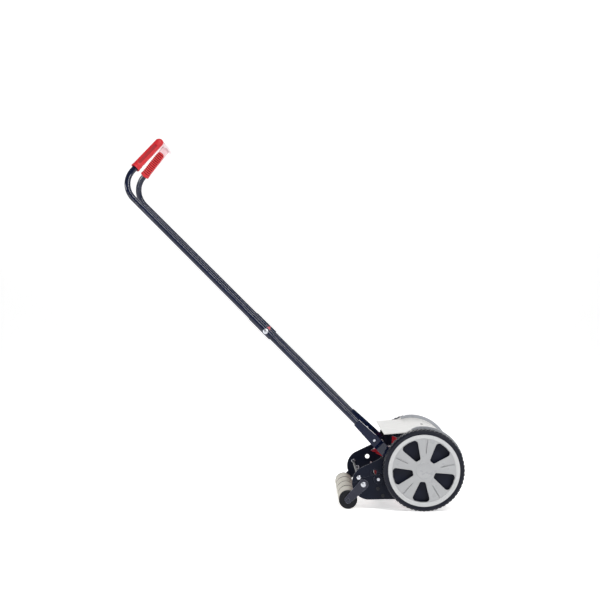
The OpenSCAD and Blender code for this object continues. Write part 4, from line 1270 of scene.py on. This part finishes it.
        # groove: a trough on the outside, with soft ends
        mid_a = np.abs(((a - np.pi / 2 + np.pi) % (2 * np.pi)) - np.pi) * self.radius
        (start, stop), fade = self.trough_ends, self.trough_fade
        ends = blend((along - start) / fade) * blend((length - stop - along) / fade)
        trough = self.trough * np.exp(-(mid_a / self.trough_half) ** 4) * ends
        r = sleeve[:, None] + (-self.valley * valley - trough) * outside
        turned = np.cos(a)[..., None] * u + np.sin(a)[..., None] * v
        pts = self.line.grip_foot + s[:, None, None] * d + r[..., None] * turned
        n = self.sides
        caps = [np.arange(n)[::-1] + (len(s) - 1) * n, np.arange(n)]
        obj = Surface.mesh(f"grip_{self.side.word}_moulded", self.side.mirror(pts.reshape(-1, 3)),
                           Surface.faces(len(s), n, False, True), caps, sharp=50)
        # the painted highlight along the front edge grows wider towards the tip
        edge = self.edge_half[0] + self.edge_half[1] * along / length
        front = np.abs((a + np.pi) % (2 * np.pi) - np.pi) < edge
        pale = front & (along > self.edge_ends[0]) & (along < length - self.edge_ends[1])
        # inside, the ribbed pad ends in a half ellipse, and past it the faces take the pale painted highlight
        inward = np.abs((a + np.pi / 2 + np.pi) % (2 * np.pi) - np.pi)
        pad_from = self.pad_end - self.pad_round
        past = np.maximum(along - self.pad_end + self.pad_round, 0) / self.pad_round
        beyond = past ** 2 + (inward / self.pad_half) ** 2 > 1
        pale = pale | ((along > pad_from) & (inward < self.pale_half) & beyond)
        # painted shade and highlight: the valleys take a deep red painted shade, the trough's floor a darker
        # painted shade and the ribs' crests a brighter painted highlight
        highlight_crest = (zone * facing > 0.5) & (wave < self.highlight_crest_under)
        masks = [pale, valley > self.valley_shade_over, trough > self.shade_over, highlight_crest]
        kinds = np.select(masks, [2, 1, 3, 4], 0)[:-1]
        return Surface.paint(obj, GRIP_RED, GRIP_VALLEY_SHADE, GRIP_PALE_HIGHLIGHT, GRIP_SHADE, GRIP_CREST_HIGHLIGHT,
                             kinds=np.pad(kinds.ravel(), (0, len(caps))))


@dataclass
class Bridge:
    """The pale shell that spans the two grips' ends, with a band of painted shade along its upper edge.

    Lengths are in metres. The section is an arc round a line along Y near the grips' tips.
    """

    line: HandleLine
    outer: float = 0.019
    inner: float = 0.0157
    first: float = radians(-20)
    first_mid: float = radians(6)
    last: float = radians(128)
    # the angles between which the shell's outer face takes the painted shade band
    bead: tuple[float, float] = (radians(38), radians(66))
    back: float = 0.020
    shift: Place = (0.003, -0.003)
    limit: float = 0.0149
    arc_points: int = 40
    columns: int = 49

    def reach(self, x: np.ndarray, z: np.ndarray) -> np.ndarray:
        """How far out in y each line of the shell runs before it meets the grip.

        It is the inner root of |w - (w . d) d| = limit, where w leads from the grip's mouth to the point.

        Args:
            x: the lines' x.
            z: the lines' z.

        Returns:
            The half width of the shell along each line.
        """
        foot, d = self.line.grip_foot, self.line.grip_dir
        wx, wz = x - foot[0], z - foot[2]
        # |w|^2 - (w . d)^2 - limit^2 = a q^2 + b q + c, where q is y from the grip's mouth
        a = 1 - d[1] ** 2
        b = -2 * d[1] * (wx * d[0] + wz * d[2])
        c = wx ** 2 + wz ** 2 - (wx * d[0] + wz * d[2]) ** 2 - self.limit ** 2
        root = np.sqrt(np.maximum(b * b - 4 * a * c, 0))
        q = (-b - root) / (2 * a)
        return foot[1] + q

    def shell(self) -> bpy.types.Object:
        """The shell: its round-ended section is carried across, and each line stops at the grips.

        The section's lower end is at the angle first beside the grips and rises to first_mid between
        them, as first + (first_mid - first) (1 - share^2), where share runs from -1 to 1 across.

        Returns:
            The shell.
        """
        n, cols = self.arc_points, self.columns
        share = np.sin(np.linspace(-np.pi / 2, np.pi / 2, cols))
        low = self.first + (self.first_mid - self.first) * (1 - share ** 2)
        bend = np.linspace(0, np.pi, 9)[1:-1, None]
        half = (self.outer - self.inner) / 2
        mid = self.inner + half
        centre = self.line.grip_tip - self.back * self.line.grip_dir
        angles = np.linspace(0, 1, n)

        def rounded(angle: float, sign: int) -> np.ndarray:
            """A half circle that joins the section's two arcs at an angle, going in (1) or out (-1)."""
            out = np.array([np.cos(angle), np.sin(angle)])
            turn = sign * np.array([-np.sin(angle), np.cos(angle)])
            return mid * out + half * (sign * np.cos(bend) * out + np.sin(bend) * turn)

        rows = []
        for bottom, part in zip(low, share):
            a = bottom + (self.last - bottom) * angles
            arc = np.stack([np.cos(a), np.sin(a)], 1)
            loop = np.concatenate([self.outer * arc, rounded(self.last, 1),
                                   self.inner * arc[::-1], rounded(bottom, -1)])
            x, z = centre[0] + self.shift[0] + loop[:, 0], centre[2] + self.shift[1] + loop[:, 1]
            rows.append(np.stack([x, self.reach(x, z) * part, z], -1))
        m = len(rows[0])
        caps = [np.arange(m), (cols - 1) * m + np.arange(m)[::-1]]
        quads = Surface.faces(cols, m, False, True)
        obj = Surface.mesh("bridge_shell", np.concatenate(rows), quads, caps, sharp=50)
        row, column = quads[:, 0] // m, quads[:, 0] % m
        angle = low[row] + (self.last - low[row]) * column / (n - 1)
        # painted shade: the outer face between the two bead angles is dark
        dark = (column < n - 1) & (angle > self.bead[0]) & (angle < self.bead[1])
        return Surface.paint(obj, BRIDGE_WHITE, BRIDGE_EDGE_SHADE, kinds=np.pad(dark, (0, len(caps))))


# ---------------------------------------------------------------- fasteners
@dataclass
class Fastener:
    """Bolts and nuts along Y, drawn for the left side and mirrored for the right.

    Lengths are in metres. A dome's crown is a share of its flange's radius, and its edge, flange, spring
    and sink are shares of its height.
    """

    centre: Place
    chamfer: float = 0.0003
    nut_chamfer: float = 0.0006
    nut_face: float = 0.95
    end_chamfer: float = 0.0005
    crown: float = 0.94
    edge: float = 0.16
    flange: float = 0.2
    spring: float = 0.22
    sink: float = 0.45

    def dome(self, seat: float, radius: float, height: float, socket: float) -> Grid:
        """A domed head with a thin flange and a sunk socket: an ellipse's quarter, then the socket's wall.

        Args:
            seat: y of the face it lies on.
            radius: the flange's radius.
            height: the dome's height.
            socket: the socket's radius.

        Returns:
            The points and the quads.
        """
        c, crown = self.chamfer, radius * self.crown
        t = np.linspace(0, 1, 15) * np.arccos(socket / crown)
        rr, yy = crown * np.cos(t), seat + height * (self.spring + (1 - self.spring) * np.sin(t))
        floor = yy[-1] - height * self.sink
        rim = [[0.0, seat], [radius - c, seat], [radius, seat + c], [radius, seat + height * self.edge],
               [radius - c, seat + height * self.flange]]
        prof = np.concatenate([rim, np.stack([rr, yy], 1), [[socket, floor], [0.0, floor]]])
        return Surface.turned(prof, self.centre, 64)

    def hexagon(self, y0: float, y1: float, flat: float, bore: float = 0.0) -> Grid:
        """A hexagon with chamfered corners from y0 to y1.

        Args:
            y0: its near face.
            y1: its far face.
            flat: half the width across flats.
            bore: radius of its bore.

        Returns:
            The points and the quads.
        """
        c, face = min(self.nut_chamfer, (y1 - y0) / 4), flat * self.nut_face
        prof = np.array([[bore, y0, 0], [face, y0, 0], [flat, y0 + c, 1], [flat, y1 - c, 1],
                         [face, y1, 0], [bore, y1, 0]])
        return Surface.hexed(prof, self.centre)

    def shank(self, y0: float, y1: float, radius: float) -> Grid:
        """A round shank with chamfered ends.

        Args:
            y0: its near end.
            y1: its far end.
            radius: its radius.

        Returns:
            The points and the quads.
        """
        c = self.end_chamfer
        prof = np.array([[0.0, y0], [radius - c, y0], [radius, y0 + c],
                         [radius, y1 - c], [radius - c, y1], [0.0, y1]])
        return Surface.turned(prof, self.centre, 40)

    @staticmethod
    def pair(name: str, parts: list[Grid], finish: Finish = ZINC) -> bpy.types.Object:
        """Joins the left side's solids and their mirror images into one object.

        Args:
            name: the object's name.
            parts: the left side's solids.
            finish: their finish.

        Returns:
            The object.
        """
        both = parts + [(Side.RIGHT.mirror(p), q) for p, q in parts]
        return Surface.paint(Surface.joined(name, both), finish)


@dataclass
class WingNut:
    """A moulded wing nut with two round-tipped wings, square to the tube. Sizes are in metres.

    The lobe_ values are shares of the wings' depth, and the two powers shape the wings' outline.
    """

    centre: Place
    seat: float
    bore: float = 0.0031
    barrel: float = 0.0066
    height: float = 0.008
    span: float = 0.0105
    depth: float = 0.0052
    thickness: float = 0.0023
    lobe_mid: float = 0.62
    span_power: float = 0.8
    fall_power: float = 0.55
    wing_at: float = 0.95
    tilt: float = radians(45)
    rows: int = 41
    sides: int = 28

    def parts(self) -> list[Grid]:
        """The barrel, and a flattened ellipsoid for the wings.

        The wings are x = span sin p, y = depth cos p cos q, z = thickness cos p sin q, with sin p and
        cos p raised to powers for a fuller outline, thinned in the middle so that two lobes are left,
        and turned by the tilt.

        Returns:
            The solids' points and quads.
        """
        r, s, foot = self.barrel, self.seat, self.seat - self.height
        prof = np.array([[self.bore, s], [r, s], [r, s - 0.002],
                         [r - 0.0012, foot + 0.001], [r - 0.002, foot], [self.bore, foot]])
        p = np.linspace(-np.pi / 2, np.pi / 2, self.rows)[:, None]
        q = np.linspace(0, 2 * np.pi, self.sides, endpoint=False)[None]
        lobe = self.lobe_mid + (1 - self.lobe_mid) * np.sin(p) ** 2
        fall = np.abs(np.cos(p)) ** self.fall_power
        x = self.span * np.sign(np.sin(p)) * np.abs(np.sin(p)) ** self.span_power + 0 * q
        y = s - self.height * self.wing_at + self.depth * lobe * fall * np.cos(q)
        z = self.thickness * fall * np.sin(q)
        c, w = np.cos(self.tilt), np.sin(self.tilt)
        pts = np.stack([self.centre[0] + c * x - w * z, y, self.centre[1] + w * x + c * z], -1)
        wings = (pts.reshape(-1, 3), Surface.faces(self.rows, self.sides, False, True))
        return [Surface.turned(prof, self.centre, 48), wings]


@dataclass
class Hardware:
    """The visible bolts, nuts and wing nuts, each kind one piece for both sides.

    Lengths are in metres. The places are measured from the wheels' axle, and the plate_, band_ and
    arm_out values are the y of those pieces' faces. A head is its radius, its height and its socket's
    radius, and a nut is half its width across flats and its bore. The tubes lean inwards by lean in each
    unit of length.
    """

    axle: Place
    line: HandleLine
    plate_in: float = 0.197
    plate_out: float = 0.200
    band_out: float = 0.2012
    arm_out: float = 0.2049
    lean: float = 0.0558
    thread_r: float = 0.003
    arm_pivot: Place = (-0.180, -0.048)
    pivot_r: float = 0.004
    pivot_head: tuple[float, float, float] = (0.008, 0.0034, 0.0022)
    pivot_nut: tuple[float, float] = (0.004, 0.006)
    joint_head: tuple[float, float, float] = (0.0082, 0.0044, 0.0021)
    joint_past: float = 0.009
    wing_foot: float = 0.007
    wing_gap: float = 0.0001
    bracket_at: tuple[float, float] = (0.067, 0.2134)
    bracket_head: tuple[float, float, float] = (0.0042, 0.0026, 0.0012)
    bracket_depth: float = 0.024
    adjuster: Place = (-0.1346, -0.032)
    adjuster_in: float = 0.002
    adjuster_out: tuple[float, float] = (0.005, 0.008)
    adjuster_flat: float = 0.0047
    rear_rod: Place = (-0.194, -0.027)
    front_rod: Place = (0.050, 0.055)
    rod_nut: tuple[float, float] = (0.0061, 0.0041)
    rod_nuts_deep: tuple[float, float, float] = (0.0026, 0.0035, 0.003)
    rod_end: tuple[float, float, float] = (0.0052, 0.0022, 0.0006)
    rod_end_out: float = 0.0027

    def spot(self, place: Place) -> Fastener:
        """A fastener at a place given from the axle."""
        return Fastener((self.axle[0] + place[0], self.axle[1] + place[1]))

    def pivot_bolts(self, name: str, place: Place) -> bpy.types.Object:
        """A pair of domed bolts through the plates, each with a nut inside.

        Args:
            name: the frame's node.
            place: where they are, from the axle.

        Returns:
            The bolts.
        """
        bolt, (deep, flat) = self.spot(place), self.pivot_nut
        nut_in = self.plate_in - deep
        return Fastener.pair(f"{name}_turned", [bolt.dome(self.arm_out, *self.pivot_head),
                                                bolt.shank(nut_in, self.arm_out, self.pivot_r),
                                                bolt.hexagon(nut_in, self.plate_in, flat)])

    def joint_bolts(self) -> bpy.types.Object:
        """The bolts through the middle joint, seated on the leaning sleeve.

        Returns:
            The bolts.
        """
        x, y, z = self.line.joint
        bolt, seat = Fastener((x, z)), y + self.line.sleeve_r + self.joint_head[0] * self.lean
        foot = y - self.line.sleeve_r - self.joint_past
        return Fastener.pair("joint_bolts_turned", [bolt.dome(seat, *self.joint_head),
                                                    bolt.shank(foot, seat, self.thread_r)])

    def wing_nuts(self) -> bpy.types.Object:
        """The wing nuts on the inner side of the middle joint.

        Returns:
            The nuts.
        """
        x, y, z = self.line.joint
        wing = WingNut((x, z), y - self.line.sleeve_r - self.wing_foot * self.lean - self.wing_gap)
        return Fastener.pair("wing_nuts_moulded", wing.parts(), WING_RED)

    def bracket_bolts(self) -> bpy.types.Object:
        """The small bolts that hold the lower tubes in their brackets.

        Returns:
            The bolts.
        """
        x, y, z = self.line.at(*self.bracket_at)
        bolt = Fastener((x, z))
        return Fastener.pair("bracket_bolts_turned", [bolt.dome(y, *self.bracket_head),
                                                      bolt.shank(y - self.bracket_depth, y, self.thread_r)])

    def adjuster_bolts(self) -> bpy.types.Object:
        """The hexagon bolts that set the bottom blade.

        Returns:
            The bolts.
        """
        bolt, foot = self.spot(self.adjuster), self.plate_in - self.adjuster_in
        seat, top = (self.band_out + rise for rise in self.adjuster_out)
        return Fastener.pair("adjuster_bolts_turned", [bolt.shank(foot, seat, self.thread_r),
                                                       bolt.hexagon(seat, top, self.adjuster_flat)])

    def tie_rod_nuts(self) -> bpy.types.Object:
        """The nuts on both tie rods: outside and inside on the rear one, with its end, and outside in front.

        Returns:
            The nuts.
        """
        rear, front = self.spot(self.rear_rod), self.spot(self.front_rod)
        outer, inner, ahead = self.rod_nuts_deep
        return Fastener.pair("tie_rod_nuts_turned",
                             [rear.hexagon(self.band_out, self.band_out + outer, *self.rod_nut),
                              rear.dome(self.band_out + self.rod_end_out, *self.rod_end),
                              rear.hexagon(self.plate_in - inner, self.plate_in, *self.rod_nut),
                              front.hexagon(self.plate_out, self.plate_out + ahead, *self.rod_nut)])


# ---------------------------------------------------------------- dressing and studio
NODES_BY_FINISH: tuple[tuple[Finish, tuple[str, ...]], ...] = (
    (FRAME_PAINT, ("side_plate", "front_tie_rod", "dust_cover", "bedknife_bar", "adjuster_bosses")),
    (TUBE_PAINT, ("handle_bracket", "lower_tube", "upper_tube")),
    (COVER_PAINT, ("top_cover",)),
    (ROD_STEEL, ("rear_tie_rod",)),
    (ZINC, ("tie_rod_nuts", "axle_left", "axle_right", "axle_clips", "adjuster_bolts", "roller_pivot_bolts",
            "bracket_bolts", "joint_bolts", "shaft_clips", "handle_pivot_bolts")),
    (DARK_STEEL, ("cover_screws", "reel_bearings", "roller_shaft", "reel_shaft", "pawl_keys",
                  "bedknife_screws")),
    (BOLT_BLACK, ("bedknife_bolts", "handle_stops")),
    (KNIFE_STEEL, ("bedknife",)),
    (REEL_PAINT, ("reel_spiders", "reel_blade")),
    (TYRE_RUBBER, ("tyre",)),
    (WHEEL_PLASTIC, ("wheel_body",)),
    (CAP_PLASTIC, ("wheel_cap",)),
    (GEAR_PLASTIC, ("pinion",)),
    (ARM_PAINT, ("roller_arm",)),
    (ROLLER_CREAM, ("roller_segment",)),
    (ROLLER_BLACK, ("roller_end_discs",)),
    (BRIDGE_WHITE, ("grip_bridge",)),
    (GRIP_RED, ("grip_left", "grip_right")),
    (WING_RED, ("wing_nuts",)),
)
PLAIN_FINISHES: dict[str, Finish] = {name: finish for finish, names in NODES_BY_FINISH for name in names}


def dress(nodes: dict[str, bpy.types.Object], axle: Place) -> None:
    """Gives every carried-over node the finish with the longest name that starts its own.

    Args:
        nodes: the frame's nodes by name.
        axle: the wheels' axle, which a rimmed finish is drawn round.
    """
    for name, obj in nodes.items():
        key = max((k for k in PLAIN_FINISHES if name.startswith(k)), key=len)
        finish = PLAIN_FINISHES[key]
        if isinstance(finish, ShadedRimFinish):
            finish = replace(finish, axle=axle)
        obj.data.materials.clear()
        obj.data.materials.append(finish.build())


@dataclass
class Studio:
    """The pale floor, the soft lights and the camera, placed round the mower's box."""

    low: Vector
    high: Vector
    axle: Place
    lens: float = 75.2
    sensor: float = 36.0
    eye: tuple[float, float, float] = (-0.3726, -4.010, 0.5124)
    sheet_half: float = 60.0
    sheet_back: float = 5.0
    sweep: float = 2.5
    wall_top: float = 9.0
    paper: Colour = (0.90, 0.90, 0.90, 1.0)
    paper_rough: float = 0.85
    paper_glow: float = 0.50
    white: Colour = (1.0, 1.0, 1.0, 1.0)
    air: float = 0.20

    def floor(self) -> None:
        """A pale sheet under the mower that curves up far behind it: flat, a quarter circle, then a wall."""
        bend = np.linspace(0, np.pi / 2, 13)[1:]
        run = np.concatenate([np.linspace(-self.sheet_half, self.sheet_back, 8),
                              self.sheet_back + self.sweep * np.sin(bend), [self.sheet_back + self.sweep]])
        rise = np.concatenate([np.zeros(8), self.sweep - self.sweep * np.cos(bend), [self.wall_top]])
        xs = np.array([-self.sheet_half, self.sheet_half])
        n = len(run)
        co = np.stack([np.repeat(xs, n), np.tile(run, 2), np.tile(rise, 2)], 1)
        mesh = bpy.data.meshes.new("floor")
        mesh.from_pydata(co.tolist(), [], Surface.faces(2, n, False, False).tolist())
        mesh.polygons.foreach_set("use_smooth", np.ones(n - 1, bool))
        obj = bpy.data.objects.new("floor", mesh)
        bpy.context.scene.collection.objects.link(obj)
        mat = bpy.data.materials.new("floor_paper")
        mat.use_nodes = True
        shader = mat.node_tree.nodes["Principled BSDF"]
        shader.inputs["Base Color"].default_value = self.paper
        shader.inputs["Roughness"].default_value = self.paper_rough
        shader.inputs["Emission Color"].default_value = self.white
        shader.inputs["Emission Strength"].default_value = self.paper_glow
        mesh.materials.append(mat)
        obj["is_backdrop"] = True

    def lamp(self, name: str, place: tuple[float, float, float], size: tuple[float, float], power: float,
             along: tuple[float, float, float] = (0.0, 0.0, 1.0)) -> None:
        """Adds a soft light aimed at the mower's middle.

        Args:
            name: the light's name.
            place: where it hangs.
            size: its width, and its length.
            power: its power in watts.
            along: the direction that its length follows as nearly as its aim allows.
        """
        data = bpy.data.lights.new(name, "AREA")
        data.shape = "RECTANGLE"
        data.size, data.size_y = size
        data.energy = power
        obj = bpy.data.objects.new(name, data)
        bpy.context.scene.collection.objects.link(obj)
        back = (Vector(place) - (self.low + self.high) / 2).normalized()
        across = Vector(along).cross(back).normalized()
        turn = Matrix((across, back.cross(across), back)).transposed()
        obj.rotation_euler = turn.to_euler()
        obj.location = place

    def lights(self) -> None:
        """A large top light, two side lights, two strips along the handle's slope and an even white world."""
        slope = (-1.0, 0.0, 1.0)
        self.lamp("top_soft", (0.3, -0.9, 4.2), (2.6, 2.6), 52.0)
        self.lamp("left_soft", (-4.0, -1.4, 1.7), (1.0, 1.0), 50.0)
        self.lamp("right_soft", (3.6, -2.2, 2.0), (1.6, 1.6), 8.0)
        self.lamp("strip_above", (2.0, -2.6, 2.9), (0.40, 3.4), 112.0, slope)
        self.lamp("strip_below", (-2.4, -2.3, 0.25), (0.10, 2.2), 14.0, slope)
        world = bpy.data.worlds.new("studio_air")
        world.use_nodes = True
        air = world.node_tree.nodes["Background"]
        air.inputs["Color"].default_value = self.white
        air.inputs["Strength"].default_value = self.air
        bpy.context.scene.world = world

    def camera(self) -> None:
        """A level camera that looks straight across the mower."""
        data = bpy.data.cameras.new("camera")
        data.lens = self.lens
        data.sensor_width = self.sensor
        obj = bpy.data.objects.new("camera", data)
        bpy.context.scene.collection.objects.link(obj)
        obj.location = (self.axle[0] + self.eye[0], self.eye[1], self.axle[1] + self.eye[2])
        obj.rotation_euler = (radians(90), 0, 0)
        bpy.context.scene.camera = obj
        bpy.context.scene.view_settings.view_transform = "Standard"


def put(piece: bpy.types.Object, body: str, nodes: list[str]) -> None:
    """Hands a finished piece to the frame and reports it.

    Args:
        piece: the piece.
        body: the moving body that carries it.
        nodes: the frame's nodes that it stands for.
    """
    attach(piece, body)
    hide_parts(*nodes)
    LOG.info("%s: %d faces", piece.name, len(piece.data.polygons))


def middle(low: Vector, high: Vector) -> Place:
    """The x and z of a box's middle."""
    return (low.x + high.x) / 2, (low.z + high.z) / 2


def build_wheels() -> None:
    """Both wheels: tyres and caps."""
    for side in Side:
        low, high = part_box(f"tyre_{side.word}")
        inner, outer = sorted((abs(low.y), abs(high.y)))
        wheel = Wheel(side, middle(low, high), inner, outer)
        put(wheel.tyre(), f"wheel_{side.word}", [f"tyre_{side.word}"])
        put(wheel.cap(), f"wheel_{side.word}", [f"wheel_cap_{side.word}"])


def build_reel_and_roller(axle: Place) -> None:
    """The reel's five blades and the roller's four segments.

    Args:
        axle: the wheels' axle as (x, z).
    """
    reel = Reel(axle)
    for index in range(1, 6):
        put(reel.blade(index), "reel", [f"reel_blade_{index}"])
    for index in range(1, 5):
        low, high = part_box(f"roller_segment_{index}")
        put(Roller(low, high).segment(index), f"roller_{index}", [f"roller_segment_{index}"])


def build_handle(line: HandleLine) -> None:
    """Both halves of the handle, and the bridge between the grips.

    Args:
        line: the line that the handle follows.
    """
    for side in Side:
        handle = Handle(side, line)
        put(handle.lower_tube(), "handle", [f"lower_tube_{side.word}"])
        put(handle.upper_tube(), "handle", [f"upper_tube_{side.word}"])
        put(handle.grip(), "handle", [f"grip_{side.word}"])
    put(Bridge(line).shell(), "handle", ["grip_bridge"])


def build_hardware(axle: Place, line: HandleLine) -> None:
    """The domed bolts, hexagon bolts, nuts and wing nuts.

    Args:
        axle: the wheels' axle as (x, z).
        line: the line that the handle follows.
    """
    kit = Hardware(axle, line)
    for name, place in (("roller_pivot_bolts", kit.arm_pivot), ("handle_pivot_bolts", line.pivot)):
        put(kit.pivot_bolts(name, place), "chassis", [name])
    put(kit.joint_bolts(), "handle", ["joint_bolts"])
    put(kit.wing_nuts(), "handle", ["wing_nuts"])
    put(kit.bracket_bolts(), "handle", ["bracket_bolts"])
    put(kit.adjuster_bolts(), "chassis", ["adjuster_bolts"])
    put(kit.tie_rod_nuts(), "chassis", ["tie_rod_nuts"])


def main() -> None:
    """Loads the frame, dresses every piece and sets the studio."""
    logging.basicConfig(level=logging.INFO, format="%(name)s: %(message)s")
    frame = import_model()
    cad_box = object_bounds()
    axle = middle(*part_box("tyre_left"))
    line = HandleLine(axle)
    dress(frame["nodes"], axle)
    LOG.info("dressed %d nodes", len(frame["nodes"]))
    build_wheels()
    build_reel_and_roller(axle)
    build_handle(line)
    build_hardware(axle, line)
    studio = Studio(Vector(cad_box[0]), Vector(cad_box[1]), axle)
    studio.floor()
    studio.lights()
    studio.camera()
    LOG.info("studio set")


if __name__ == "__main__":
    main()
